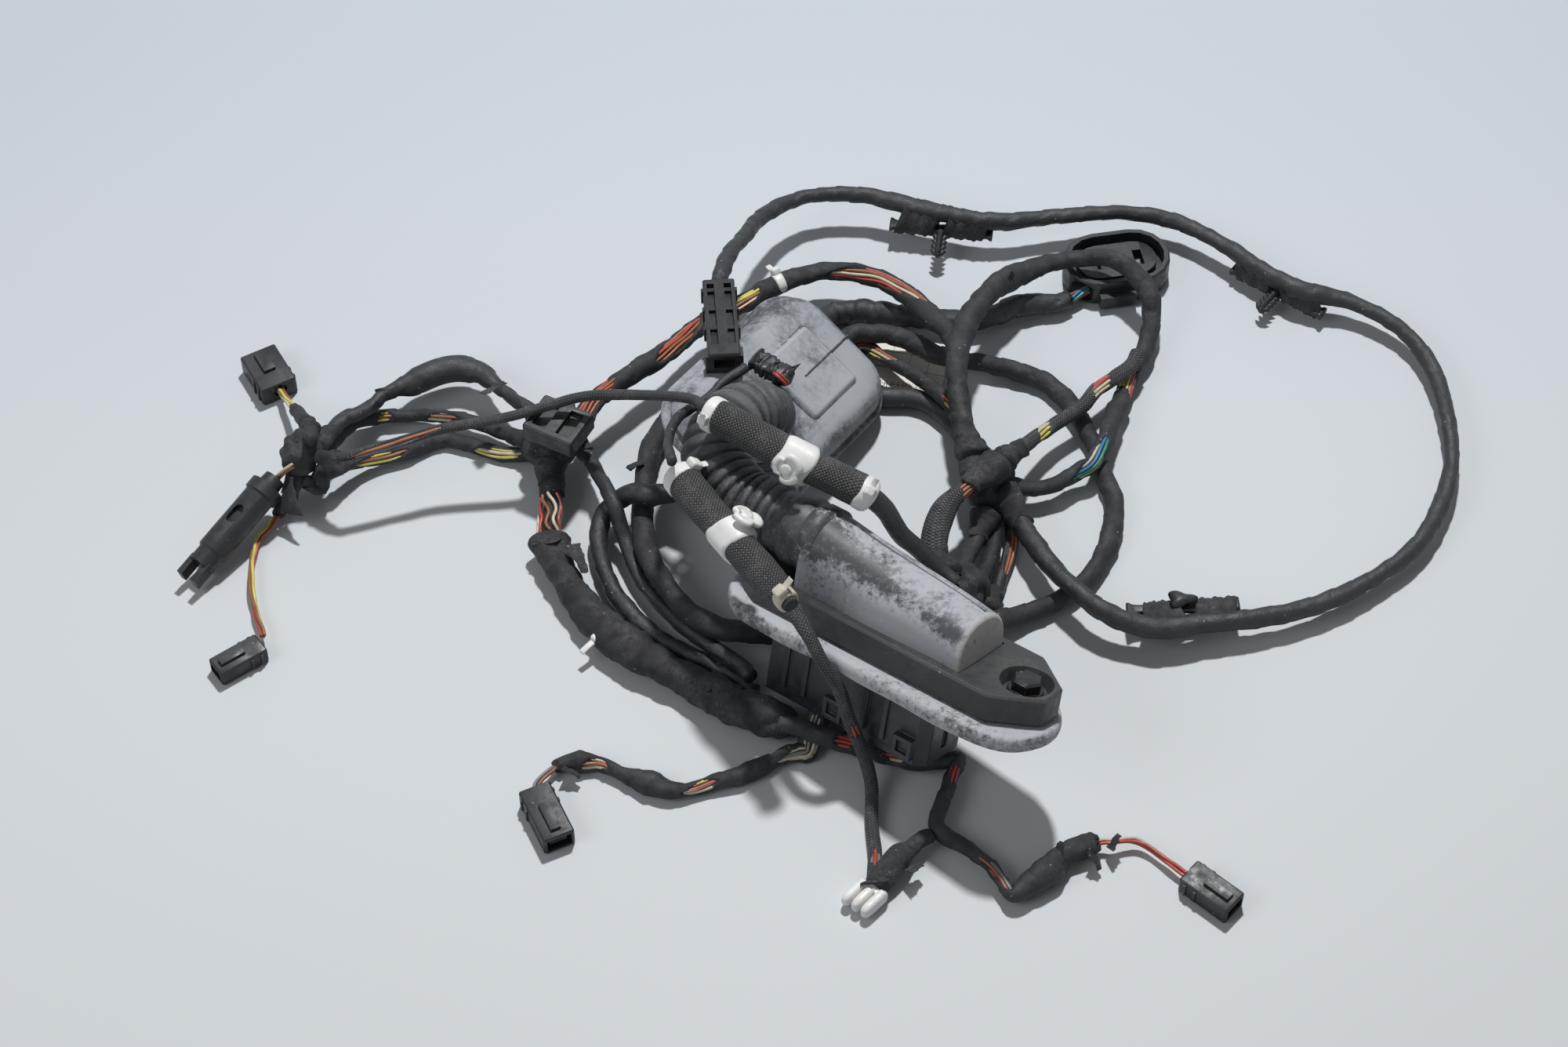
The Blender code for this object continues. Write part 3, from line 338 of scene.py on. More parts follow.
def makeRubber(name, values):
    made, tree, shader = newMaterial(name, values["bloom"], 0.72)
    where = objectVector(tree)
    bloom = markOf(tree, "bloom")
    pale = markOf(tree, "pale")
    broad = noise(tree, where, 48.0, 6.0, 0.62, 0.4)
    fine = noise(tree, where, 420.0, 5.0, 0.75)
    level = plus(tree, bloom, times(tree, maths(tree, "SUBTRACT", broad, 0.5), 2.2))
    level = plus(tree, level, times(tree, maths(tree, "SUBTRACT", fine, 0.5), values["mottle"]))
    share = plus(tree, remap(tree, level, 0.05, 0.95), times(tree, remap(tree, fine, 0.50, 0.66), 0.16), True)
    colour = mixColour(tree, share, values["dark"], values["bloom"])
    wash = remap(tree, noise(tree, where, 22.0, 4.0, 0.6), 0.35, 0.75)
    colour = mixColour(tree, times(tree, times(tree, wash, share), 0.45), colour, (0.54, 0.55, 0.57))
    beige = times(tree, pale, remap(tree, fine, 0.25, 0.55))
    colour = mixColour(tree, beige, colour, values["beige"])
    dust = useGroup(tree, dustGroup, where, Patch=35.0, Amount=0.35, Speck=330.0)
    colour = mixColour(tree, dust.outputs["Specks"], colour, (0.62, 0.62, 0.62))
    paint(tree, shader, colour, remap(tree, share, 0.0, 1.0, 0.48, 0.82))
    height = plus(tree, times(tree, fine, 0.5), times(tree, broad, 0.5))
    bumpOn(tree, shader, height, 0.30, 0.0006)
    return made


# Bellows: painted shade darkens the hollows between the ribs, and dust lightens their crowns
def makeHoseRubber():
    made, tree, shader = newMaterial("hoseRubber", (0.045, 0.045, 0.048), 0.62)
    where = objectVector(tree)
    crown = markOf(tree, "bloom")
    broad = noise(tree, where, 60.0, 5.0, 0.6)
    # The rib mark runs from the hollows, painted dark as shade, to the crowns, lightened in patches as dust
    level = times(tree, crown, remap(tree, broad, 0.30, 0.68))
    colour = mixColour(tree, level, (0.022, 0.022, 0.024), (0.105, 0.105, 0.110))
    dust = useGroup(tree, dustGroup, where, Patch=45.0, Amount=0.5, Speck=420.0)
    colour = mixColour(tree, dust.outputs["Mask"], colour, (0.17, 0.17, 0.17))
    paint(tree, shader, colour, remap(tree, broad, 0.3, 0.7, 0.50, 0.72))
    bumpOn(tree, shader, noise(tree, where, 500.0, 3.0, 0.6), 0.25, 0.0004)
    return made


# Moulded plastic: a fine grain, scuffs and dust in patches
plasticFinishes = {
    "framePlastic": {
        "base": (0.037, 0.038, 0.040), "scuff": (0.10, 0.092, 0.082), "dust": 0.50, "patch": 38.0, "rough": 0.46,
    },
    "blockPlastic": {
        "base": (0.026, 0.029, 0.035), "scuff": (0.075, 0.078, 0.085), "dust": 0.30, "patch": 50.0, "rough": 0.40,
    },
    "plugPlastic": {
        "base": (0.014, 0.014, 0.015), "scuff": (0.050, 0.050, 0.050), "dust": 0.30, "patch": 90.0, "rough": 0.44,
    },
    "boltCoat": {
        "base": (0.010, 0.010, 0.011), "scuff": (0.060, 0.055, 0.050), "dust": 0.30, "patch": 120.0, "rough": 0.22,
    },
    "nylonWhite": {
        "base": (0.80, 0.80, 0.79), "scuff": (0.60, 0.58, 0.54), "dust": 0.35, "patch": 130.0, "rough": 0.42,
    },
    "nylonBeige": {
        "base": (0.58, 0.55, 0.45), "scuff": (0.40, 0.37, 0.30), "dust": 0.35, "patch": 130.0, "rough": 0.45,
    },
}


def makePlastic(name, values):
    made, tree, shader = newMaterial(name, values["base"], values["rough"])
    where = objectVector(tree)
    dust = useGroup(tree, dustGroup, where, Patch=values["patch"], Amount=values["dust"], Speck=380.0)
    colour = mixColour(tree, dust.outputs["Mask"], values["base"], values["scuff"])
    colour = mixColour(tree, times(tree, dust.outputs["Specks"], 0.6), colour, (0.34, 0.33, 0.31))
    wear = noise(tree, where, 240.0, 4.0, 0.6)
    paint(tree, shader, colour, remap(tree, wear, 0.3, 0.75, values["rough"] - 0.10, values["rough"] + 0.18))
    bumpOn(tree, shader, noise(tree, where, 1500.0, 2.0, 0.6), 0.16, 0.0002)
    return made


# Wire insulation: its colour, and that of a thin tracer stripe that winds round on the UV
wireColours = {
    "red": ((0.47, 0.070, 0.050), (0.47, 0.070, 0.050)),
    "redWhite": ((0.47, 0.090, 0.075), (0.66, 0.60, 0.52)),
    "brown": ((0.30, 0.115, 0.055), (0.30, 0.115, 0.055)),
    "brownRed": ((0.40, 0.155, 0.075), (0.50, 0.085, 0.05)),
    "yellow": ((0.66, 0.60, 0.14), (0.66, 0.60, 0.14)),
    "white": ((0.64, 0.56, 0.42), (0.64, 0.56, 0.42)),
    "whiteGreen": ((0.62, 0.58, 0.46), (0.25, 0.42, 0.08)),
    "grey": ((0.22, 0.22, 0.23), (0.22, 0.22, 0.23)),
    "blue": ((0.05, 0.20, 0.40), (0.05, 0.20, 0.40)),
    "green": ((0.03, 0.24, 0.18), (0.03, 0.24, 0.18)),
    "black": ((0.018, 0.018, 0.019), (0.018, 0.018, 0.019)),
}


def makeWire(name, base, tracer):
    made, tree, shader = newMaterial("wire_" + name, base, 0.36)
    where = objectVector(tree)
    split = splitOf(tree, uvVector(tree))
    turn = maths(tree, "FRACT", plus(tree, split[1], times(tree, split[0], 9.0)))
    stripe = times(tree, maths(tree, "LESS_THAN", turn, 0.22), 0.9)
    colour = mixColour(tree, stripe, base, tracer)
    grime = useGroup(tree, dustGroup, where, Patch=140.0, Amount=0.5, Speck=600.0)
    colour = mixColour(tree, grime.outputs["Mask"], colour, tuple(0.45 * c for c in base))
    paint(tree, shader, colour, remap(tree, noise(tree, where, 300.0), 0.3, 0.7, 0.28, 0.48))
    return made


# Paper label: off-white, creased and dirty, with plain bars, ruled boxes and a field left bare
def makePaper():
    made, tree, shader = newMaterial("labelPaper", (0.66, 0.64, 0.60), 0.75)
    where = objectVector(tree)
    u, v, _ = splitOf(tree, uvVector(tree))
    bars = maths(tree, "GREATER_THAN", maths(tree, "SINE", times(tree, u, 260.0)), 0.25)
    wide = maths(tree, "GREATER_THAN", maths(tree, "SINE", times(tree, u, 97.0)), -0.35)
    low = times(tree, maths(tree, "LESS_THAN", v, 0.30), maths(tree, "GREATER_THAN", v, 0.14))
    code = times(tree, times(tree, bars, wide), low)
    rules = maths(tree, "LESS_THAN", maths(tree, "FRACT", times(tree, v, 4.0)), 0.03)
    posts = maths(tree, "LESS_THAN", maths(tree, "FRACT", times(tree, u, 5.0)), 0.025)
    posts = times(tree, posts, maths(tree, "GREATER_THAN", v, 0.5))
    ink = maths(tree, "MAXIMUM", code, maths(tree, "MAXIMUM", rules, posts))
    stain = remap(tree, noise(tree, where, 90.0, 5.0, 0.65), 0.52, 0.80)
    colour = mixColour(tree, stain, (0.86, 0.83, 0.77), (0.55, 0.50, 0.44))
    colour = mixColour(tree, times(tree, ink, 0.8), colour, (0.05, 0.05, 0.055))
    wire(tree, colour, shader.inputs["Base Color"])
    bumpOn(tree, shader, noise(tree, where, 70.0, 4.0, 0.6), 0.35, 0.0008)
    return made


finishes = {name: makeTape(name, values) for name, values in tapeFinishes.items()}
finishes.update({name: makeBraid(name, values) for name, values in braidFinishes.items()})
finishes.update({name: makeRubber(name, values) for name, values in rubberFinishes.items()})
finishes.update({name: makePlastic(name, values) for name, values in plasticFinishes.items()})
finishes.update({name: makeWire(name, *pair) for name, pair in wireColours.items()})
finishes["hoseRubber"] = makeHoseRubber()
finishes["labelPaper"] = makePaper()
print("finishes made:", len(finishes))


# UV of faces whose corners are given as pairs of arrays
def uvOf(*corners):
    return np.stack([np.stack(pair, -1) for pair in corners], 1)


# A closed shell from a grid of rings: quads between rings and a fan to the middle of each end ring.
# u is given for each ring, v is the share of a turn. The shell is turned outwards by its signed volume.
# With loop, the last ring joins the first instead. values are numbers for each point, such as bloom.
def shellOf(grid, finish, along=None, values=None, loop=False):
    values = values or {}
    if loop:
        grid = np.concatenate([grid, grid[:1]])
        values = {key: np.concatenate([value, value[:1]]) for key, value in values.items()}
    rings, sides = grid.shape[:2]
    ids = np.arange(rings * sides).reshape(rings, sides)
    after = np.roll(ids, -1, axis=1)
    quads = np.stack([ids[:-1], after[:-1], after[1:], ids[1:]], -1).reshape(-1, 4)
    u = np.linspace(0, 1, rings) if along is None else np.asarray(along)
    v = np.arange(sides + 1) / sides
    low, high = np.repeat(u[:-1], sides), np.repeat(u[1:], sides)
    left, right = np.tile(v[:-1], rings - 1), np.tile(v[1:], rings - 1)
    quadUv = uvOf((low, left), (low, right), (high, right), (high, left))
    first, last = rings * sides, rings * sides + 1
    near = np.stack([np.full(sides, first), after[0], ids[0]], -1)
    far = np.stack([np.full(sides, last), ids[-1], after[-1]], -1)
    fans = np.concatenate([near, far])
    ends = np.concatenate([np.full(sides, u[0]), np.full(sides, u[-1])])
    here, there = np.tile(v[:-1], 2), np.tile(v[1:], 2)
    fanUv = uvOf((ends, (here + there) / 2), (ends, there), (ends, here))
    fanUv[sides:, 1], fanUv[sides:, 2] = fanUv[sides:, 2].copy(), fanUv[sides:, 1].copy()
    points = np.concatenate([grid.reshape(-1, 3), grid[0].mean(0)[None], grid[-1].mean(0)[None]])
    halves = np.concatenate([quads[:, [0, 1, 2]], quads[:, [0, 2, 3]], fans])
    corner = points[halves] - points.mean(0)
    volume = np.einsum("ij,ij->i", corner[:, 0], np.cross(corner[:, 1], corner[:, 2])).sum()
    if volume < 0:
        quads, quadUv, fans, fanUv = quads[:, ::-1], quadUv[:, ::-1], fans[:, ::-1], fanUv[:, ::-1]
    if loop:
        count = (rings - 1) * sides
        quads = np.where(quads >= count, quads - count, quads)
        points, fans, fanUv = points[:count], fans[:0], fanUv[:0]
    marks = {}
    for key, value in values.items():
        flat = np.broadcast_to(value, (rings, sides)).reshape(-1)
        marks[key] = np.concatenate([flat, [flat[:sides].mean(), flat[-sides:].mean()]])[:len(points)]
    faces = {"quads": quads, "quadUv": quadUv, "fans": fans, "fanUv": fanUv}
    return {"points": points, "finish": finish, "marks": marks, **faces}


tableClear = 0.0002


# One mesh object from any number of shells, each with its own finish
def pieceOf(name, shells, node=None):
    mesh = bpy.data.meshes.new(name)
    kinds = list(dict.fromkeys(s["finish"] for s in shells))
    counts = np.cumsum([0] + [len(s["points"]) for s in shells])
    corners, uvs, starts, chosen, at = [], [], [], [], 0
    for shell, offset in zip(shells, counts):
        for faces, faceUv in ((shell["quads"], shell["quadUv"]), (shell["fans"], shell["fanUv"])):
            if len(faces) == 0:
                continue
            corners.append((faces + offset).ravel())
            uvs.append(faceUv.reshape(-1, 2))
            starts.append(at + np.arange(len(faces)) * faces.shape[1])
            chosen.append(np.full(len(faces), kinds.index(shell["finish"])))
            at += faces.size
    points = np.concatenate([s["points"] for s in shells])
    points[:, 2] = np.maximum(points[:, 2], tableClear)
    mesh.vertices.add(len(points))
    mesh.vertices.foreach_set("co", points.astype(np.float32).ravel())
    corners = np.concatenate(corners)
    mesh.loops.add(len(corners))
    mesh.loops.foreach_set("vertex_index", corners.astype(np.int32))
    starts = np.concatenate(starts)
    mesh.polygons.add(len(starts))
    mesh.polygons.foreach_set("loop_start", starts.astype(np.int32))
    mesh.polygons.foreach_set("material_index", np.concatenate(chosen).astype(np.int32))
    mesh.update(calc_edges=True)
    layer = mesh.uv_layers.new(name="uv")
    layer.uv.foreach_set("vector", np.concatenate(uvs).astype(np.float32).ravel())
    for key in sorted({k for s in shells for k in s["marks"]}):
        mark = mesh.attributes.new(key, "FLOAT", "POINT")
        parts = [s["marks"].get(key, np.zeros(len(s["points"]))) for s in shells]
        mark.data.foreach_set("value", np.concatenate(parts).astype(np.float32))
    mesh.shade_smooth()
    for kind in kinds:
        mesh.materials.append(finishes[kind])
    obj = addObject(name, mesh)
    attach(obj, "harness")
    if node:
        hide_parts(node)
    return obj


def unit(vectors):
    return vectors / np.linalg.norm(vectors, axis=-1, keepdims=True)


def turnOf(sides):
    return 2 * np.pi * np.arange(sides) / sides


# The reach of a rounded square, (|cos|^p + |sin|^p)^(-1/p)
def squareOf(turn, power):
    return (np.abs(np.cos(turn)) ** power + np.abs(np.sin(turn)) ** power) ** (-1 / power)


# An oval: wide * cos(turn) along one direction and tall * sin(turn) along the other
def ovalOf(turn, wide, tall, across, up):
    return (wide * np.cos(turn))[..., None] * across + (tall * np.sin(turn))[..., None] * up


# Along a short line, square to it towards aim, and square to both
def standOn(line, aim):
    tangent = unit(line[-1] - line[0])
    out = unit(aim - tangent * np.dot(aim, tangent))
    return tangent, out, np.cross(out, tangent)


def runOf(path):
    return np.concatenate([[0], np.cumsum(np.linalg.norm(np.diff(path, axis=0), axis=1))])


# Evenly spaced points on a Catmull-Rom curve through the given ones
def smoothPath(points, spacing):
    knots = np.array(points, float)
    ends = np.vstack([2 * knots[0] - knots[1], knots, 2 * knots[-1] - knots[-2]])
    a, b, c, d = (ends[i:len(ends) - 3 + i, None, :] for i in range(4))
    t = np.linspace(0, 1, 24, endpoint=False)[None, :, None]
    dense = b + 0.5 * ((c - a) * t + (2 * a - 5 * b + 4 * c - d) * t**2 + (3 * b - a - 3 * c + d) * t**3)
    dense = np.vstack([dense.reshape(-1, 3), knots[-1:]])
    run = runOf(dense)
    even = np.linspace(0, run[-1], max(4, int(round(run[-1] / spacing)) + 1))
    return np.stack([np.interp(even, run, dense[:, k]) for k in range(3)], axis=1), even


# Two directions across a path: both lie square to it, and the first keeps square to the path's own plane
def acrossOf(path):
    tangent = unit(np.gradient(path, axis=0))
    plane = np.linalg.eigh(tangent.T @ tangent)[1][:, 0]
    side = np.cross(tangent, plane)
    side /= np.maximum(np.linalg.norm(side, axis=1), 1e-6)[:, None]
    return side, np.cross(side, tangent)


# Rings round a path: centre + radius * (cos(angle) * side + sin(angle) * up)
def ringsOf(path, radius, sides):
    side, up = acrossOf(path)
    angle = turnOf(sides)
    reach = np.broadcast_to(radius, (len(path), sides))[..., None]
    spoke = np.cos(angle)[None, :, None] * side[:, None] + np.sin(angle)[None, :, None] * up[:, None]
    return path[:, None] + reach * spoke


# A frame from its place, the turn of +X about the vertical, its rise, and the sideways lean of +Z
def frameOf(at, yaw=0.0, rise=0.0, lean=0.0):
    yaw, rise, lean = np.radians([yaw, rise, lean])
    along = np.array([np.cos(yaw) * np.cos(rise), np.sin(yaw) * np.cos(rise), np.sin(rise)])
    side = np.array([-np.sin(yaw), np.cos(yaw), 0])
    out = np.cos(lean) * np.cross(along, side) + np.sin(lean) * side
    return np.array(at, float), np.stack([along, np.cross(out, along), out])


def toWorld(points, place):
    return place[0] + points @ place[1]


def smoothStep(value, low, high):
    t = np.clip((value - low) / (high - low), 0, 1)
    return t * t * (3 - 2 * t)


# The routes of the CAD source, in metres: diameter, then the points of each cord
cordRoutes = {
    "top_strand": (0.008, (
        (-0.051, 0.1062, 0.0508), (-0.05, 0.113, 0.05), (-0.047, 0.128, 0.045), (-0.041, 0.146, 0.036),
        (-0.036, 0.162, 0.028), (-0.026, 0.177, 0.021), (-0.013, 0.185, 0.018), (0.007, 0.186, 0.017),
        (0.026, 0.181, 0.016), (0.039, 0.177, 0.016), (0.061, 0.173, 0.015), (0.087, 0.177, 0.014),
        (0.113, 0.18, 0.013), (0.135, 0.176, 0.012), (0.154, 0.163, 0.012), (0.168, 0.149, 0.012),
        (0.183, 0.138, 0.012), (0.202, 0.134, 0.01), (0.22, 0.122, 0.009), (0.231, 0.104, 0.008),
        (0.235, 0.08, 0.008), (0.234, 0.052, 0.008), (0.226, 0.028, 0.008), (0.214, 0.009, 0.008),
        (0.194, -0.007, 0.008), (0.172, -0.019, 0.009), (0.151, -0.025, 0.01), (0.13, -0.028, 0.011),
        (0.115, -0.031, 0.012), (0.103, -0.029, 0.013), (0.092, -0.024, 0.015), (0.083, -0.015, 0.016),
        (0.075, -0.003, 0.014), (0.067, 0.013, 0.013), (0.062, 0.025, 0.013), (0.057, 0.033, 0.014),
    )),
    "right_loop": (0.0075, (
        (-0.006, 0.107, 0.0145), (-0.001, 0.113, 0.0115), (0.006, 0.116, 0.011), (0.021, 0.115, 0.0095),
        (0.037, 0.107, 0.0075), (0.056, 0.104, 0.006), (0.074, 0.098, 0.005), (0.083, 0.091, 0.0045),
        (0.09, 0.079, 0.0045), (0.096, 0.063, 0.0045), (0.098, 0.051, 0.0045), (0.102, 0.035, 0.0045),
        (0.099, 0.016, 0.0045), (0.092, 0.001, 0.0045), (0.084, -0.008, 0.0045), (0.075, -0.014, 0.0045),
        (0.063, -0.02, 0.0055), (0.054, -0.025, 0.009), (0.048, -0.027, 0.012),
    )),
    "inner_loop": (0.006, (
        (0.046, 0.104, 0.03), (0.051, 0.115, 0.0285), (0.059, 0.128, 0.0255), (0.069, 0.139, 0.0205),
        (0.082, 0.147, 0.0185), (0.095, 0.15, 0.018), (0.107, 0.147, 0.021), (0.116, 0.139, 0.02),
        (0.121, 0.131, 0.017), (0.122, 0.124, 0.011), (0.119, 0.111, 0.0075), (0.112, 0.097, 0.0065),
        (0.108, 0.085, 0.007), (0.104, 0.075, 0.009), (0.1, 0.061, 0.0115), (0.094, 0.049, 0.0115),
        (0.087, 0.045, 0.0095), (0.077, 0.039, 0.009), (0.068, 0.038, 0.0095), (0.062, 0.038, 0.011),
    )),
    "woven_lead": (0.006, (
        (0.115, 0.103, 0.0135), (0.111, 0.096, 0.013), (0.098, 0.084, 0.0145), (0.091, 0.075, 0.014),
        (0.078, 0.064, 0.0145), (0.062, 0.044, 0.0225), (0.053, 0.033, 0.0265), (0.043, 0.024, 0.0265),
        (0.035, 0.015, 0.025), (0.031, 0.003, 0.0215), (0.032, -0.005, 0.019), (0.037, -0.014, 0.018),
    )),
    "yellow_lead": (0.0055, (
        (-0.004, 0.108, 0.005), (0.001, 0.113, 0.0035), (0.007, 0.115, 0.0035), (0.015, 0.106, 0.0065),
        (0.027, 0.094, 0.01), (0.038, 0.08, 0.0125), (0.042, 0.072, 0.0125), (0.048, 0.059, 0.0135),
        (0.05, 0.052, 0.0145), (0.054, 0.043, 0.0165),
    )),
    "main_left": (0.008, (
        (-0.112, 0.051, 0.023), (-0.106, 0.058, 0.022), (-0.099, 0.071, 0.0225), (-0.087, 0.084, 0.0215),
        (-0.072, 0.099, 0.019), (-0.057, 0.117, 0.0165), (-0.041, 0.128, 0.016), (-0.026, 0.139, 0.016),
        (-0.007, 0.145, 0.016), (0.012, 0.14, 0.017), (0.025, 0.129, 0.018), (0.032, 0.118, 0.02),
        (0.04, 0.103, 0.0245), (0.042, 0.087, 0.027), (0.042, 0.073, 0.026), (0.044, 0.056, 0.022),
        (0.047, 0.042, 0.02), (0.051, 0.033, 0.0175),
    )),
    "oblong_lead": (0.0085, (
        (-0.012, 0.108, 0.01), (-0.013, 0.118, 0.009), (-0.008, 0.129, 0.006), (-0.003, 0.132, 0.005),
        (0.006, 0.132, 0.005), (0.025, 0.129, 0.006), (0.047, 0.126, 0.007), (0.057, 0.128, 0.007),
        (0.069, 0.134, 0.007), (0.086, 0.137, 0.006), (0.098, 0.144, 0.006),
    )),
    "smooth_lead": (0.008, (
        (-0.007, 0.093, 0.008), (0.001, 0.089, 0.006), (0.007, 0.089, 0.0045), (0.015, 0.088, 0.0045),
        (0.027, 0.087, 0.0045), (0.036, 0.081, 0.0045), (0.044, 0.07, 0.0045), (0.048, 0.058, 0.0055),
        (0.053, 0.044, 0.0085),
    )),
    "near_lead": (0.008, (
        (-0.022, 0.093, 0.016), (-0.032, 0.092, 0.018), (-0.041, 0.091, 0.019), (-0.049, 0.094, 0.015),
        (-0.055, 0.094, 0.011), (-0.063, 0.091, 0.0075), (-0.072, 0.073, 0.006), (-0.078, 0.057, 0.007),
        (-0.08, 0.032, 0.0085), (-0.078, 0.006, 0.0125), (-0.07, -0.012, 0.0135), (-0.061, -0.026, 0.015),
        (-0.05, -0.033, 0.015), (-0.037, -0.032, 0.0105), (-0.023, -0.03, 0.006), (-0.008, -0.031, 0.005),
        (0.01, -0.029, 0.007), (0.027, -0.026, 0.0095), (0.034, -0.026, 0.012),
    )),
    "cross_lead": (0.007, (
        (-0.017, 0.089, 0.014), (-0.03, 0.077, 0.018), (-0.039, 0.063, 0.0155), (-0.05, 0.046, 0.0155),
        (-0.065, 0.031, 0.017), (-0.075, 0.027, 0.019), (-0.086, 0.029, 0.016), (-0.095, 0.024, 0.0095),
        (-0.096, 0.011, 0.0065), (-0.091, -0.007, 0.0055), (-0.082, -0.021, 0.005), (-0.07, -0.032, 0.004),
        (-0.055, -0.041, 0.004), (-0.043, -0.049, 0.004), (-0.037, -0.055, 0.004),
    )),
    "thin_lead": (0.0055, (
        (-0.111, 0.062, 0.0125), (-0.103, 0.053, 0.0135), (-0.098, 0.042, 0.015), (-0.091, 0.024, 0.019),
        (-0.086, 0.012, 0.01), (-0.079, -0.005, 0.006), (-0.066, -0.024, 0.0075), (-0.051, -0.039, 0.01),
        (-0.042, -0.047, 0.0115), (-0.038, -0.054, 0.0135),
    )),
    "trunk": (0.012, (
        (-0.116, 0.051, 0.0135), (-0.116, 0.046, 0.011), (-0.115, 0.032, 0.009), (-0.115, 0.013, 0.008),
        (-0.104, -0.013, 0.008), (-0.09, -0.031, 0.008), (-0.069, -0.046, 0.007), (-0.051, -0.058, 0.0075),
        (-0.041, -0.064, 0.0075),
    )),
    "far_lead_one": (0.006, (
        (-0.121, 0.058, 0.019), (-0.123, 0.068, 0.0175), (-0.13, 0.076, 0.016), (-0.137, 0.084, 0.014),
        (-0.145, 0.093, 0.0125), (-0.153, 0.096, 0.0125), (-0.162, 0.094, 0.013), (-0.174, 0.087, 0.013),
        (-0.183, 0.081, 0.014), (-0.188, 0.074, 0.0145), (-0.197, 0.067, 0.016), (-0.203, 0.056, 0.019),
        (-0.206, 0.047, 0.0225),
    )),
    "far_lead_two": (0.005, (
        (-0.121, 0.058, 0.012), (-0.127, 0.062, 0.0095), (-0.136, 0.068, 0.007), (-0.149, 0.074, 0.0065),
        (-0.162, 0.077, 0.006), (-0.174, 0.078, 0.005), (-0.186, 0.076, 0.0065), (-0.195, 0.072, 0.008),
        (-0.201, 0.061, 0.011), (-0.205, 0.051, 0.014),
    )),
    "far_lead_three": (0.005, (
        (-0.121, 0.059, 0.005), (-0.136, 0.06, 0.003), (-0.149, 0.065, 0.003), (-0.161, 0.067, 0.0035),
        (-0.173, 0.06, 0.0045), (-0.185, 0.055, 0.006), (-0.193, 0.05, 0.01), (-0.2, 0.043, 0.014),
        (-0.204, 0.041, 0.017),
    )),
    "fine_lead": (0.004, (
        (-0.055, 0.024, 0.0745), (-0.061, 0.033, 0.069), (-0.079, 0.046, 0.0555), (-0.1, 0.054, 0.0455),
        (-0.115, 0.054, 0.04), (-0.13, 0.051, 0.037), (-0.145, 0.049, 0.035), (-0.157, 0.047, 0.034),
        (-0.169, 0.043, 0.033), (-0.187, 0.037, 0.032), (-0.193, 0.036, 0.031), (-0.199, 0.038, 0.028),
        (-0.204, 0.04, 0.025),
    )),
    "sleeve_one": (0.013, (
        (-0.053, 0.015, 0.0825), (-0.043, 0.008, 0.083), (-0.024, -0.006, 0.0835), (-0.009, -0.014, 0.0815),
        (0.004, -0.02, 0.0785), (0.011, -0.019, 0.068), (0.017, -0.017, 0.0515), (0.024, -0.015, 0.0395),
        (0.031, -0.016, 0.0295), (0.038, -0.02, 0.025),
    )),
    "sleeve_two": (0.013, (
        (-0.0643, -0.0026, 0.0681), (-0.055, -0.019, 0.071), (-0.045, -0.034, 0.072),
        (-0.034, -0.051, 0.074), (-0.023, -0.068, 0.076),
    )),
    "plug_lead_woven": (0.005, (
        (-0.022, -0.059, 0.0605), (-0.019, -0.065, 0.0605), (-0.016, -0.07, 0.058), (-0.011, -0.076, 0.05),
        (-0.006, -0.079, 0.0405), (-0.002, -0.084, 0.028), (0.003, -0.089, 0.015), (0.006, -0.097, 0.0065),
        (0.006, -0.111, 0.003), (0.007, -0.124, 0.0035),
    )),
    "cut_lead": (0.0045, (
        (-0.066, -0.008, 0.0825), (-0.068, 0.009, 0.0725), (-0.065, 0.026, 0.066), (-0.055, 0.04, 0.06),
        (-0.048, 0.048, 0.061), (-0.04, 0.055, 0.061),
    )),
    "lower_lead": (0.0065, (
        (-0.017, -0.08, 0.004), (-0.02, -0.081, 0.004), (-0.026, -0.083, 0.004), (-0.039, -0.09, 0.0035),
        (-0.048, -0.093, 0.0035), (-0.063, -0.098, 0.004), (-0.074, -0.095, 0.004), (-0.086, -0.09, 0.004),
        (-0.094, -0.086, 0.004), (-0.106, -0.086, 0.0035), (-0.111, -0.09, 0.004), (-0.115, -0.095, 0.0045),
        (-0.116, -0.098, 0.0045),
    )),
    "right_lead": (0.0065, (
        (-0.027, -0.074, 0.013), (-0.019, -0.077, 0.013), (-0.011, -0.079, 0.011), (-0.003, -0.08, 0.0085),
        (0.006, -0.082, 0.007), (0.02, -0.086, 0.0065), (0.032, -0.086, 0.0055), (0.038, -0.085, 0.0055),
        (0.036, -0.091, 0.0055), (0.033, -0.1, 0.0055), (0.029, -0.113, 0.0055), (0.032, -0.118, 0.0055),
        (0.039, -0.123, 0.0055), (0.047, -0.13, 0.0055), (0.051, -0.136, 0.0055), (0.055, -0.143, 0.0055),
        (0.061, -0.139, 0.0055), (0.069, -0.133, 0.0055), (0.075, -0.126, 0.0055), (0.087, -0.121, 0.0055),
        (0.092, -0.121, 0.0055), (0.101, -0.12, 0.0045), (0.109, -0.126, 0.0043), (0.116, -0.1326, 0.0042),
        (0.1193, -0.1354, 0.0042),
    )),
    "fork_lead": (0.005, (
        (0.0266, -0.118, 0.0055), (0.023, -0.121, 0.0065), (0.019, -0.125, 0.007), (0.015, -0.129, 0.0075),
        (0.011, -0.134, 0.0065), (0.0072, -0.1388, 0.0043),
    )),
    "down_lead_one": (0.006, (
        (0.052, 0.025, 0.0125), (0.049, 0.016, 0.01), (0.044, 0.005, 0.0085), (0.041, -0.005, 0.009),
        (0.041, -0.012, 0.0095),
    )),
    "down_lead_two": (0.005, (
        (0.056, 0.025, 0.007), (0.055, 0.015, 0.006), (0.052, 0.003, 0.0065), (0.048, -0.009, 0.0105),
        (0.046, -0.021, 0.0145),
    )),
    "down_lead_three": (0.005, (
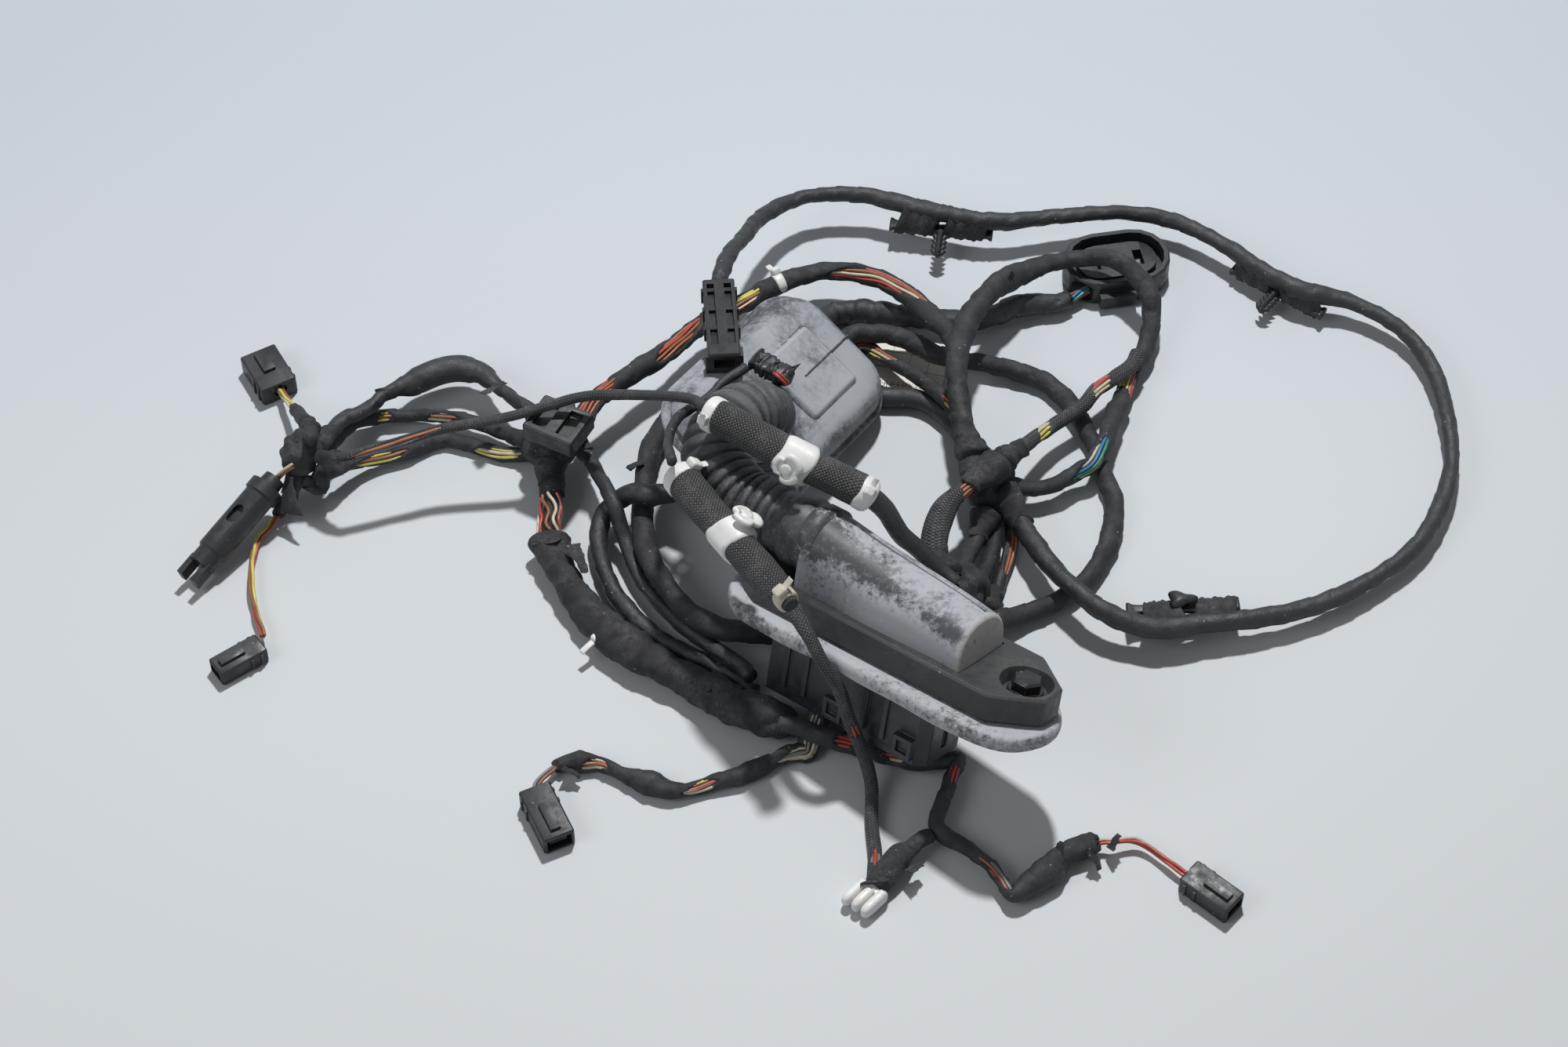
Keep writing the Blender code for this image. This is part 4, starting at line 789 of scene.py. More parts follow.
        (0.061, 0.028, 0.0055), (0.062, 0.017, 0.003), (0.058, 0.002, 0.003), (0.054, -0.01, 0.004),
        (0.049, -0.019, 0.0075),
    )),
    "square_plug_lead": (0.005, (
        (-0.226, 0.092, 0.005), (-0.223, 0.086, 0.007), (-0.218, 0.076, 0.012), (-0.213, 0.065, 0.0195),
        (-0.208, 0.053, 0.027), (-0.206, 0.042, 0.034),
    )),
    "cylinder_lead": (0.005, (
        (-0.213, 0.038, 0.024), (-0.217, 0.037, 0.0215), (-0.221, 0.036, 0.017),
    )),
    "small_plug_lead": (0.005, (
        (-0.213, 0.039, 0.0175), (-0.216, 0.035, 0.01), (-0.219, 0.032, 0.0055), (-0.223, 0.025, 0.003),
        (-0.228, 0.016, 0.003), (-0.228, -0.003, 0.004), (-0.225, -0.017, 0.004), (-0.222, -0.025, 0.004),
        (-0.221, -0.029, 0.004),
    )),
}


# Cords. Each names its tape or braid, and the places where the wrapping gapes: from and to as shares
# of the length, and the wires that show there. "slit" runs along the bundle, "gap" crosses it between
# two turns of tape, and "loose" is wire with no tape. far is what the far end goes into.
cordValues = {
    "top_strand": {"finish": "satinTape", "rough": 0.9, "bare": ()},
    "right_loop": {"finish": "clothTape", "rough": 1.1, "bare": ()},
    "inner_loop": {"finish": "clothTape", "rough": 1.2, "bare": (
        (0.70, 0.74, "gap", "white yellow redWhite brown"), (0.84, 0.92, "slit", "yellow white blue green yellow"),
    )},
    "woven_lead": {"finish": "fineBraid", "rough": 0.4, "bare": (
        (0.135, 0.195, "gap", "redWhite white brown"), (0.365, 0.415, "gap", "white yellow brownRed green"),
        (0.50, 0.545, "gap", "redWhite brown white"), (0.62, 0.73, "gap", "brown brownRed brown"),
    )},
    "yellow_lead": {"finish": "clothTape", "rough": 0.9, "bare": (
        (0.08, 0.32, "slit", "yellow white brownRed yellow black"), (0.60, 0.69, "slit", "yellow redWhite white"),
        (0.85, 0.90, "gap", "yellow red"),
    )},
    "main_left": {"finish": "clothTape", "rough": 1.1, "bare": (
        (0.02, 0.13, "slit", "red brownRed red brown"), (0.19, 0.30, "slit", "red brownRed brown"),
        (0.32, 0.40, "slit", "yellow redWhite brown yellow"), (0.50, 0.68, "slit", "redWhite red white brown"),
        (0.80, 0.92, "slit", "redWhite white red white"),
    )},
    "oblong_lead": {
        "finish": "satinTape", "rough": 1.6, "bare": ((0.93, 1.0, "loose", "green blue brown blue green red"),),
    },
    "smooth_lead": {"finish": "satinTape", "rough": 0.4, "bare": ()},
    "near_lead": {"finish": "clothTape", "rough": 0.9, "bare": ()},
    "cross_lead": {"finish": "satinTape", "rough": 0.9, "bare": ()},
    "thin_lead": {"finish": "satinTape", "rough": 0.7, "bare": ()},
    "trunk": {
        "finish": "fuzzyTape", "rough": 1.5,
        "bare": ((0.12, 0.25, "loose", "red brown white redWhite grey yellow brown white"),),
    },
    "far_lead_one": {"finish": "satinTape", "rough": 1.3, "bare": ()},
    "far_lead_two": {"finish": "clothTape", "rough": 1.1, "bare": (
        (0.04, 0.12, "slit", "white brown"), (0.36, 0.48, "slit", "redWhite brown white"),
        (0.62, 0.68, "slit", "yellow brown"),
    )},
    "far_lead_three": {"finish": "clothTape", "rough": 1.0, "bare": (
        (0.06, 0.24, "slit", "yellow white yellow"), (0.50, 0.72, "slit", "yellow brown yellow brownRed"),
    )},
    "fine_lead": {
        "finish": "fineBraid", "rough": 0.4, "bare": ((0.70, 0.93, "slit", "white brownRed grey brown"),),
    },
    "sleeve_one": {"finish": "coarseBraid", "rough": 0.4, "bare": (), "change": (0.50, "satinTape")},
    "sleeve_two": {"finish": "coarseBraid", "rough": 0.4, "bare": ()},
    "plug_lead_woven": {
        "finish": "fineBraid", "rough": 0.3,
        "bare": ((0.44, 0.48, "slit", "red"), (0.90, 0.97, "slit", "grey red")),
    },
    "cut_lead": {"finish": "satinTape", "rough": 0.6, "bare": ()},
    "lower_lead": {"finish": "clothTape", "rough": 1.2, "bare": (
        (0.03, 0.24, "slit", "white whiteGreen grey white"), (0.42, 0.52, "slit", "yellow redWhite white"),
        (0.74, 0.82, "slit", "brownRed white"), (0.90, 1.0, "loose", "grey brown white"),
    ), "far": "lower_plug"},
    "right_lead": {"finish": "clothTape", "rough": 1.3, "bare": (
        (0.095, 0.135, "slit", "red"), (0.19, 0.23, "slit", "red white"), (0.33, 0.37, "slit", "red"),
        (0.55, 0.64, "slit", "redWhite brown grey red"),
        (0.82, 1.0, "loose", "red white red"),
    ), "far": "right_plug"},
    "fork_lead": {"finish": "fuzzyTape", "rough": 1.2, "bare": ()},
    "down_lead_one": {"finish": "clothTape", "rough": 0.9, "bare": ()},
    "down_lead_two": {"finish": "clothTape", "rough": 0.9, "bare": ()},
    "down_lead_three": {"finish": "satinTape", "rough": 0.8, "bare": ((0.12, 0.60, "slit", "brownRed brown"),)},
    "square_plug_lead": {
        "finish": "clothTape", "rough": 1.0, "bare": ((0.0, 0.34, "loose", "yellow brown grey white"),),
        "far": "top_left_plug", "reversed": True,
    },
    "cylinder_lead": {"finish": "clothTape", "rough": 0.4, "bare": ((0.0, 1.0, "loose", "white brownRed white"),)},
    "small_plug_lead": {
        "finish": "clothTape", "rough": 0.6,
        "bare": ((0.0, 0.10, "loose", "red brown white"), (0.24, 1.0, "loose", "red brown yellow")),
        "far": "small_left_plug",
    },
}

# Where a cord is thicker or thinner than its diameter: shares of its length and factors
cordTapers = {
    "top_strand": (
        (0.0, 0.75), (0.175, 0.74), (0.195, 0.88), (0.255, 0.90), (0.275, 0.74), (0.40, 0.74), (0.42, 0.90),
        (0.475, 0.90),
        (0.495, 0.74), (0.70, 0.78), (0.80, 0.85), (0.82, 0.98), (0.875, 0.98), (0.90, 0.90), (1.0, 0.90),
    ),
    "right_loop": ((0.0, 0.95), (1.0, 0.92)),
    "trunk": (
        (0.0, 0.78), (0.25, 0.80), (0.258, 1.16), (0.36, 1.02), (0.45, 0.95), (0.62, 1.14), (0.75, 1.12),
        (1.0, 1.05),
    ),
    "woven_lead": ((0.0, 1.0), (0.60, 0.95), (0.75, 1.30), (0.80, 1.65), (1.0, 1.7)),
    "fork_lead": ((0.0, 1.0), (0.35, 1.05), (0.5, 1.6), (0.62, 1.9), (0.8, 2.1), (0.92, 2.0), (1.0, 1.6)),
    "sleeve_one": (
        (0.0, 0.80), (0.012, 0.96), (0.05, 1.0), (0.49, 1.0), (0.503, 0.90), (0.508, 0.60), (0.62, 0.56),
        (1.0, 0.50),
    ),
    "sleeve_two": ((0.0, 0.75), (0.02, 0.95), (0.08, 1.0), (0.80, 0.98), (0.90, 0.82), (0.95, 0.56), (1.0, 0.42)),
    "right_lead": (
        (0.0, 1.1), (0.30, 1.0), (0.34, 0.8), (0.50, 0.85), (0.54, 0.65), (0.63, 0.75), (0.67, 1.35), (0.72, 1.6),
        (0.76, 1.1), (0.80, 1.3), (0.84, 0.7), (1.0, 0.7),
    ),
    "main_left": ((0.0, 0.95), (0.66, 0.92), (0.70, 1.15), (0.74, 0.92), (1.0, 0.95)),
    "cross_lead": ((0.0, 0.95), (0.36, 0.95), (0.42, 1.3), (0.49, 0.95), (1.0, 0.95)),
    "far_lead_one": (
        (0.0, 0.9), (0.26, 0.85), (0.36, 1.5), (0.43, 2.0), (0.52, 1.8), (0.58, 1.35), (0.63, 0.9), (1.0, 0.9),
    ),
    "lower_lead": (
        (0.0, 1.1), (0.10, 1.25), (0.24, 0.75), (0.30, 1.1), (0.42, 0.9), (0.52, 0.75), (0.62, 1.3), (0.70, 0.7),
        (0.78, 0.8), (0.83, 1.3), (0.88, 0.8), (1.0, 0.7),
    ),
    "inner_loop": ((0.0, 1.15), (0.12, 1.2), (0.20, 1.5), (0.34, 1.5), (0.44, 1.1), (0.68, 1.2), (1.0, 1.0)),
    "plug_lead_woven": ((0.0, 1.35), (0.05, 1.15), (0.12, 1.0), (1.0, 1.0)),
    "cut_lead": ((0.0, 0.8), (1.0, 0.8)),
    "oblong_lead": ((0.0, 0.9), (0.10, 1.2), (0.30, 1.15), (0.45, 0.85), (0.70, 1.05), (0.85, 0.8), (1.0, 0.75)),
    "far_lead_two": ((0.0, 1.1), (0.4, 0.95), (0.7, 1.1), (1.0, 1.2)),
    "far_lead_three": ((0.0, 1.2), (0.4, 1.1), (1.0, 0.9)),
}
tapeValues = {
    "spacing": 0.0008, "sides": 32, "pitch": 0.0105, "step": 0.00042, "lump": 0.065, "wireSides": 8,
    "wireRadius": 0.00066, "wireUnder": 0.0035, "looseSink": 0.85, "slitSink": 0.42,
    "swells": (0.033, 0.013, 0.0071), "flats": 0.062, "drift": 0.05, "seen": (0, -0.60, 0.80),
}


# Where the tape runs on past the end of a route, before its first point or after its last
runOns = {
    "inner_loop": (
        "before",
        ((0.0477, 0.0427, 0.0200), (0.0439, 0.0547, 0.0245), (0.0419, 0.0707, 0.0280), (0.0420, 0.0870, 0.0300)),
    ),
    "far_lead_three": ("after", ((-0.2042, 0.0368, 0.0110), (-0.2108, 0.0375, 0.0150))),
    "lower_lead": ("before", ((-0.0112, -0.0641, 0.0110), (-0.0141, -0.0711, 0.0080))),
    "plug_lead_woven": ("after", ((0.0066, -0.1310, 0.0050), (0.0062, -0.1365, 0.0050))),
}


def taperOf(name, share):
    return np.interp(share, *zip(*cordTapers.get(name, ((0, 1), (1, 1)))))


# How far the wrapping gapes, 0 to 1, over the run along a cord and the angle from the side that is seen.
# A slit is a lens along the cord, its angle shrinking to nothing at both ends; a gap is a slanted band.
def openingOf(kind, s, offset, first, last, thick, ragged):
    middle, half = (first + last) / 2, (last - first) / 2
    if kind == "loose":
        at, soft = s + ragged, 0.0005
        return smoothStep(at, first - soft, first + soft) * (1 - smoothStep(at, last - soft, last + soft))
    if kind == "gap":
        shifted = s - middle - 0.75 * thick * offset + ragged
        return (1 - smoothStep(np.abs(shifted), half * 0.72, half * 1.1)) * (1 - smoothStep(np.abs(offset), 1.5, 1.9))
    lens = 1.15 * np.clip(1 - ((s + ragged - middle) / half) ** 2, 0, 1) ** 0.8
    return smoothStep(lens - np.abs(offset - 0.25 - 35 * (s - middle)), 0.0, 0.28)


# A bundle: a wound tube, flattened and swelling in slow waves, with a step where each turn of tape laps the
# last. Where it gapes the tube sinks to a core, and wires of their own colours lie side by side over it.
def makeCord(name, values, seed):
    diameter, route = cordRoutes[name]
    where, more = runOns.get(name, ("after", ()))
    path, run = smoothPath((*more, *route) if where == "before" else (*route, *more), tapeValues["spacing"])
    length = run[-1]
    share = run / length
    thick = diameter / 2 * taperOf(name, share)
    sides = 44 if diameter > 0.010 else tapeValues["sides"]
    turn = turnOf(sides)[None, :]
    s = run[:, None]
    draw = np.random.default_rng(seed)
    shift = draw.uniform(0, 2 * np.pi, 8)
    rough = values["rough"]
    side, up = acrossOf(path)
    seen = np.arctan2(up @ np.array(tapeValues["seen"]), side @ np.array(tapeValues["seen"]))
    seen = np.unwrap(seen)[:, None]
    offset = np.mod(turn - seen + np.pi, 2 * np.pi) - np.pi
    broad, mid, short = tapeValues["swells"]
    slow = np.sin(2 * np.pi * s / broad + shift[0])
    slow = slow + 0.8 * np.sin(2 * np.pi * s / mid + turn + shift[1])
    slow = slow + 0.5 * np.sin(2 * np.pi * s / short - 2 * turn + shift[6])
    oval = np.cos(2 * turn - 2 * np.pi * s / tapeValues["flats"] + shift[2])
    factor = 1 + tapeValues["lump"] * rough * (0.5 * slow + oval)
    if "Braid" not in values["finish"]:
        ragged = 0.12 * np.sin(3 * turn + shift[3]) + 0.06 * np.sin(7 * turn + 2 * np.pi * s / 0.011 + shift[4])
        drift = 0.25 * np.sin(2 * np.pi * s / tapeValues["drift"] + shift[7])
        lap = np.mod(s / tapeValues["pitch"] - turn / (2 * np.pi) + ragged + drift, 1.0)
        edge = np.minimum(lap / 0.07, 1.0) * (1 - lap)
        factor = factor + rough * tapeValues["step"] / np.maximum(thick[:, None], 0.002) * edge
    sunk = np.zeros((len(run), sides))
    torn = 0.0006 * np.sin(3 * turn + shift[5]) + 0.0004 * np.sin(7 * turn + shift[0])
    for start, stop, kind, _ in values["bare"]:
        first = -0.01 if start == 0 else start * length
        last = length + 0.01 if stop == 1 else stop * length
        mask = openingOf(kind, s, offset, first, last, thick[:, None], torn)
        depth = tapeValues["looseSink"] if kind == "loose" and name != "trunk" else tapeValues["slitSink"]
        sunk = np.maximum(sunk, mask * depth)
    radius = np.minimum(thick[:, None] * factor, 0.65 * diameter + 0.0015) * (1 - sunk)
    rings = ringsOf(path, radius, sides)
    if "change" in values:
        at = int(values["change"][0] * (len(path) - 1))
        shells = [
            shellOf(rings[:at + 2], values["finish"], run[:at + 2]),
            shellOf(rings[at:], values["change"][1], run[at:]),
        ]
    else:
        shells = [shellOf(rings, values["finish"], run)]
    small = tapeValues["wireRadius"]
    for start, stop, kind, colours in values["bare"]:
        colours = colours.split()
        spare = 0.0 if kind == "loose" else tapeValues["wireUnder"]
        picked = (run >= start * length - spare) & (run <= stop * length + spare)
        line, at = path[picked], run[picked]
        along = (at - at[0]) / max(at[-1] - at[0], 1e-6)
        if kind == "loose":
            count = len(colours)
            reach = np.full(len(at), small * (1.12 if count < 4 else 0.5 * count / np.pi * 2.1))
            bundle = np.minimum(thick[picked].mean() - small, reach)
            twist = draw.uniform(55, 90) * (at - at[0])
            phases = [
                twist + 2 * np.pi * k / count + 0.25 * np.sin(2 * np.pi * at / 0.013 + k) for k in range(count)
            ]
            reach = bundle * (1 + 0.10 * np.sin(2 * np.pi * at / 0.017)) if name != "trunk" else thick[picked] - small
        else:
            reach = thick[picked] * 0.90 - small - 0.0008 * smoothStep(np.abs(2 * along - 1), 0.72, 1.0)
            half = 1.5 if kind == "slit" else 2.0
            step = 2.1 * small / reach.mean()
            many = int(half / step)
            middle = seen[picked, 0] + 18 * (at - at.mean())
            phases = [
                middle + k * step + 0.10 * np.sin(2 * np.pi * at / 0.02 + k) for k in range(-many, many + 1)
            ]
            colours = [colours[(k // (1 if kind == "slit" else 2)) % len(colours)] for k in range(2 * many + 1)]
        for phase, colour in zip(phases, colours):
            strand = line + ovalOf(phase, reach, reach, side[picked], up[picked])
            if len(strand) > 3:
                shells.append(shellOf(ringsOf(strand, small, tapeValues["wireSides"]), colour, at))
    piece = pieceOf(name + "_skin", shells, name)
    return piece, path, length, diameter


def makeCords():
    made = {}
    for seed, (name, values) in enumerate(cordValues.items()):
        made[name] = makeCord(name, values, 100 + seed)
    return made


cords = makeCords()
print("cords made:", len(cords), "of", round(sum(c[2] for c in cords.values()), 2), "m")


# Taped knots where bundles meet: middle, half length, radius and direction in metres
knotValues = {
    "lower_knot": {
        "at": (0.053, 0.037, 0.016), "half": 0.0150, "radius": 0.0118, "aim": (0.25, 0.45, -0.05), "rough": 1.2,
    },
    "grommet_breakout": {
        "at": (-0.012, 0.098, 0.0125), "half": 0.0180, "radius": 0.0085, "aim": (0.5, 0.85, -0.15), "rough": 1.0,
    },
    "left_breakout": {
        "at": (-0.116, 0.054, 0.015), "half": 0.0125, "radius": 0.0098, "aim": (1, 0.15, 0), "rough": 1.2,
        "core": 0.75, "over": 1.5,
    },
    "far_left_breakout": {
        "at": (-0.211, 0.046, 0.022), "half": 0.0115, "radius": 0.0088, "aim": (-0.45, -1, -0.3), "rough": 1.2,
        "core": 0.85, "over": 1.2,
    },
    "trunk_breakout": {
        "at": (-0.036, -0.0674, 0.009), "half": 0.0190, "radius": 0.0080, "aim": (1, -0.35, 0), "rough": 1.1,
        "core": 0.95, "over": 1.4,
    },
    "rear_breakout": {
        "at": (0.042, -0.015, 0.014), "half": 0.0130, "radius": 0.0110, "aim": (0.3, 0.9, 0), "rough": 1.4,
    },
}

wrapValues = {"sides": 36, "pitch": 0.0062, "step": 0.00045}
spindleValues = {"sides": 44, "core": 0.70, "over": 1.7, "near": 0.002, "skin": 0.0005}


# A sleeve of tape: a tube over a stretch of a cord, thick at its inner end and thinning outwards to the
# cord's own radius; its turns lap every few millimetres, and its outer end is cut unevenly
def makeWrap(path, inner, outer, rough, draw):
    run = runOf(path)
    t = (run / run[-1])[:, None]
    shift = draw.uniform(0, 2 * np.pi, 5)
    turn = turnOf(wrapValues["sides"])[None, :]
    lap = np.mod(run[:, None] / wrapValues["pitch"] - turn / (2 * np.pi) + 0.10 * np.sin(3 * turn + shift[0]), 1.0)
    step = wrapValues["step"] * rough * np.minimum(lap / 0.08, 1) * (1 - lap)
    radius = outer + (inner - outer) * (1 - smoothStep(t, 0.0, 0.85)) + step
    wave = 0.06 * np.cos(2 * turn - 90 * run[:, None] + shift[1])
    wave = wave + 0.04 * np.sin(3 * turn + 2 * np.pi * run[:, None] / 0.009 + shift[2])
    radius = radius * (0.55 + 0.45 * smoothStep(t, -0.02, 0.16)) * (1 + rough * wave)
    tangent = unit(np.gradient(path, axis=0))
    slide = 0.0011 * np.sin(2 * turn + shift[3]) * smoothStep(t, 0.8, 1.0)
    rings = ringsOf(path, radius, wrapValues["sides"]) + slide[..., None] * tangent[:, None]
    return shellOf(rings, "fuzzyTape", run)


# A knot: a small spindle, radius (1 - |t|^3)^0.6 of the full one, and a wrap along each cord that leaves it
def makeKnot(name, values, seed):
    draw = np.random.default_rng(seed)
    shift = draw.uniform(0, 2 * np.pi, 6)
    middle = np.array(values["at"])
    aim = unit(np.array(values["aim"]))
    t = np.linspace(-0.985, 0.985, 40)
    turn = turnOf(spindleValues["sides"])[None, :]
    wave = 0.08 * np.sin(3 * turn + 5 * t[:, None] + shift[2]) + 0.06 * np.sin(5 * turn - 9 * t[:, None] + shift[3])
    core = values.get("core", spindleValues["core"]) * values["radius"]
    radius = core * ((1 - np.abs(t) ** 3) ** 0.6)[:, None] * (0.95 + values["rough"] * wave)
    line = middle + aim * (0.9 * t * values["half"])[:, None]
    rings = ringsOf(line, radius, spindleValues["sides"])
    shells = [shellOf(rings, "fuzzyTape", t * values["half"] + values["half"])]
    for cord, (_, path, _, diameter) in cords.items():
        distance = np.linalg.norm(path - middle, axis=1)
        nearest = int(distance.argmin())
        if distance[nearest] > values["radius"] + spindleValues["near"] or cord.startswith("sleeve"):
            continue
        for way in (1, -1):
            reach = values["half"] * draw.uniform(0.85, 1.35)
            steps = int(reach / tapeValues["spacing"])
            stop = np.clip(nearest + way * steps, 0, len(path) - 1)
            if abs(stop - nearest) < 7 or stop in (0, len(path) - 1):
                continue
            line = path[nearest:stop + way if stop + way >= 0 else None:way]
            own = diameter / 2 * taperOf(cord, stop / (len(path) - 1)) + spindleValues["skin"]
            inner = max(own, min(0.66 * values["radius"], own * values.get("over", spindleValues["over"])))
            shells.append(makeWrap(line, inner, own, values["rough"], draw))
    return pieceOf(name + "_skin", shells, name)


# Loose ends of tape: where each starts, how far it reaches, and its width at both ends, in metres
flapValues = (
    ((-0.2146, 0.0335, 0.0180), (-0.0010, -0.0086, -0.0080), 0.0020, 0.0130),
    ((-0.1125, 0.0085, 0.0140), (-0.0083, 0.0008, -0.0040), 0.0050, 0.0045),
    ((-0.1048, 0.0032, 0.0160), (0.0038, -0.0100, -0.0020), 0.0060, 0.0030),
    ((0.0491, 0.1169, 0.0240), (0.0029, 0.0009, 0.0045), 0.0034, 0.0022),
    ((0.0642, 0.1306, 0.0260), (0.0007, 0.0014, 0.0040), 0.0034, 0.0022),
    ((-0.1048, -0.0898, 0.0060), (0.0046, -0.0034, -0.0020), 0.0060, 0.0020),
    ((0.0721, -0.1286, 0.0080), (0.0019, 0.0040, 0.0030), 0.0070, 0.0020),
    ((0.0840, -0.1267, 0.0070), (0.0023, -0.0047, -0.0040), 0.0060, 0.0020),
    ((0.0914, -0.1241, 0.0070), (0.0034, 0.0034, 0.0020), 0.0050, 0.0025),
    ((0.0100, -0.1378, 0.0080), (-0.0083, -0.0014, -0.0020), 0.0060, 0.0040),
    ((0.0189, -0.1345, 0.0080), (0.0046, 0.0029, -0.0020), 0.0060, 0.0025),
    ((-0.0815, 0.0484, 0.0120), (-0.0038, -0.0039, 0.0000), 0.0050, 0.0040),
    ((-0.0530, -0.0592, 0.0120), (-0.0073, -0.0004, -0.0060), 0.0060, 0.0030),
    ((-0.1789, 0.0757, 0.0240), (-0.0057, 0.0001, -0.0020), 0.0050, 0.0025),
    ((-0.1409, 0.0690, 0.0300), (0.0072, 0.0057, -0.0020), 0.0050, 0.0025),
)


# A tongue of tape: a flat oval carried along a line, its width going from one end's to the other's with a
# jagged edge, and curling up at its free end
def makeFlaps():
    shells = []
    for k, (start, reach, wide, narrow) in enumerate(flapValues):
        draw = np.random.default_rng(40 + k)
        start, reach = np.array(start), np.array(reach)
        t = np.linspace(-0.2, 1, 26)[:, None]
        across = unit(np.cross(reach, (0, 0.6, 0.8)))
        out = np.cross(across, reach)
        out *= np.sign(out[2]) / np.linalg.norm(out)
        path = start + reach * t
        turn = turnOf(28)[None, :]
        jagged = 1 + 0.10 * np.sin(11 * t + draw.uniform(0, 6)) + 0.05 * np.sin(27 * t)
        edge = (wide + (narrow - wide) * np.clip(t, 0, 1)) / 2 * jagged
        grid = path[:, None] + (edge * np.cos(turn))[..., None] * across
        curl = 0.0010 * np.cos(turn + draw.uniform(0, 1)) ** 2 * np.clip(t, 0, 1) + 0.0008 * np.sin(3 * t) * t
        grid = grid + (0.00022 * np.sin(turn) + curl)[..., None] * out
        shells.append(shellOf(grid, "fuzzyTape", np.linspace(0, 0.01, 26)))
    return pieceOf("tape_ends", shells)


# Pillar boot: every length as in the CAD source, in the boot's own frame
bootValues = {
    "at": (0.0147, -0.0636, 0.0369), "yaw": -37.7, "rise": 7.2, "lean": 21.1,
    "lipLength": 0.140, "lipWidth": 0.0430, "lipShift": -0.0033, "lipThick": 0.0070,
    "left": -0.0400, "right": 0.0345, "width": 0.0284, "topLeft": 0.0455, "topRight": 0.0320, "crest": 0.0022,
    "slope": 0.10, "round": 0.0014, "drum": 0.0270, "drumLeft": -0.0515, "drumDrop": -0.0006,
    "collar": 0.0236, "collarLength": 0.0070,
}
bootFrame = frameOf(bootValues["at"], bootValues["yaw"], bootValues["rise"], bootValues["lean"])


# The outline of a slot: points of its middle line and the directions out of it, on an even count
def slotOutline(length, width, arc=44, straight=50):
    reach = (length - width) / 2
    angle = np.linspace(-np.pi / 2, np.pi / 2, arc, endpoint=False)
    x = np.linspace(reach, -reach, straight, endpoint=False)
    flat = np.zeros_like(x)
    base = np.concatenate([
        np.stack([np.full(arc, reach), np.zeros(arc)], -1), np.stack([x, flat], -1),
        np.stack([np.full(arc, -reach), np.zeros(arc)], -1), np.stack([-x, flat], -1),
    ])
    out = np.concatenate([
        np.stack([np.cos(angle), np.sin(angle)], -1), np.stack([flat, flat + 1], -1),
        np.stack([-np.cos(angle), -np.sin(angle)], -1), np.stack([flat, flat - 1], -1),
    ])
    return base, out, width / 2


# The lip: a rounded edge profile of (inset, height) carried round the slot, with a slow wave in its rim
def makeLip(values):
    base, out, radius = slotOutline(values["lipLength"], values["lipWidth"])
    profile = np.array([
        (0.0150, 0.0066), (0.0060, 0.0067), (0.0036, 0.0069), (0.0022, 0.0070), (0.0012, 0.0067), (0.0005, 0.0060),
        (0.0001, 0.0048), (0.0000, 0.0036), (0.0003, 0.0022), (0.0010, 0.0010), (0.0022, 0.0003), (0.0050, 0.0000),
        (0.0150, 0.0000),
    ])
    count = len(base)
    around = turnOf(count)
    wave = 0.00035 * np.sin(5 * around) + 0.00025 * np.sin(11 * around + 1)
    flat = base[None] + (radius - profile[:, 0, None, None]) * out[None]
    height = profile[:, 1, None] + wave[None] * smoothStep(0.006 - profile[:, 0], 0, 0.006)[:, None]
    grid = np.concatenate([flat, height[..., None]], -1)
    grid[..., 1] += values["lipShift"]
    rim = np.exp(-(((profile[:, 0] - 0.0004) / 0.0009) ** 2))[:, None] * (0.5 + 0.5 * np.sin(3 * around + 0.6))[None]
    bloom = 0.92 - 0.55 * rim - 0.5 * (profile[:, 1] < 0.0008)[:, None]
    marks = {"bloom": bloom, "pale": 0.10 * np.ones_like(bloom)}
    return shellOf(toWorld(grid, bootFrame), "bootRubber", None, marks)


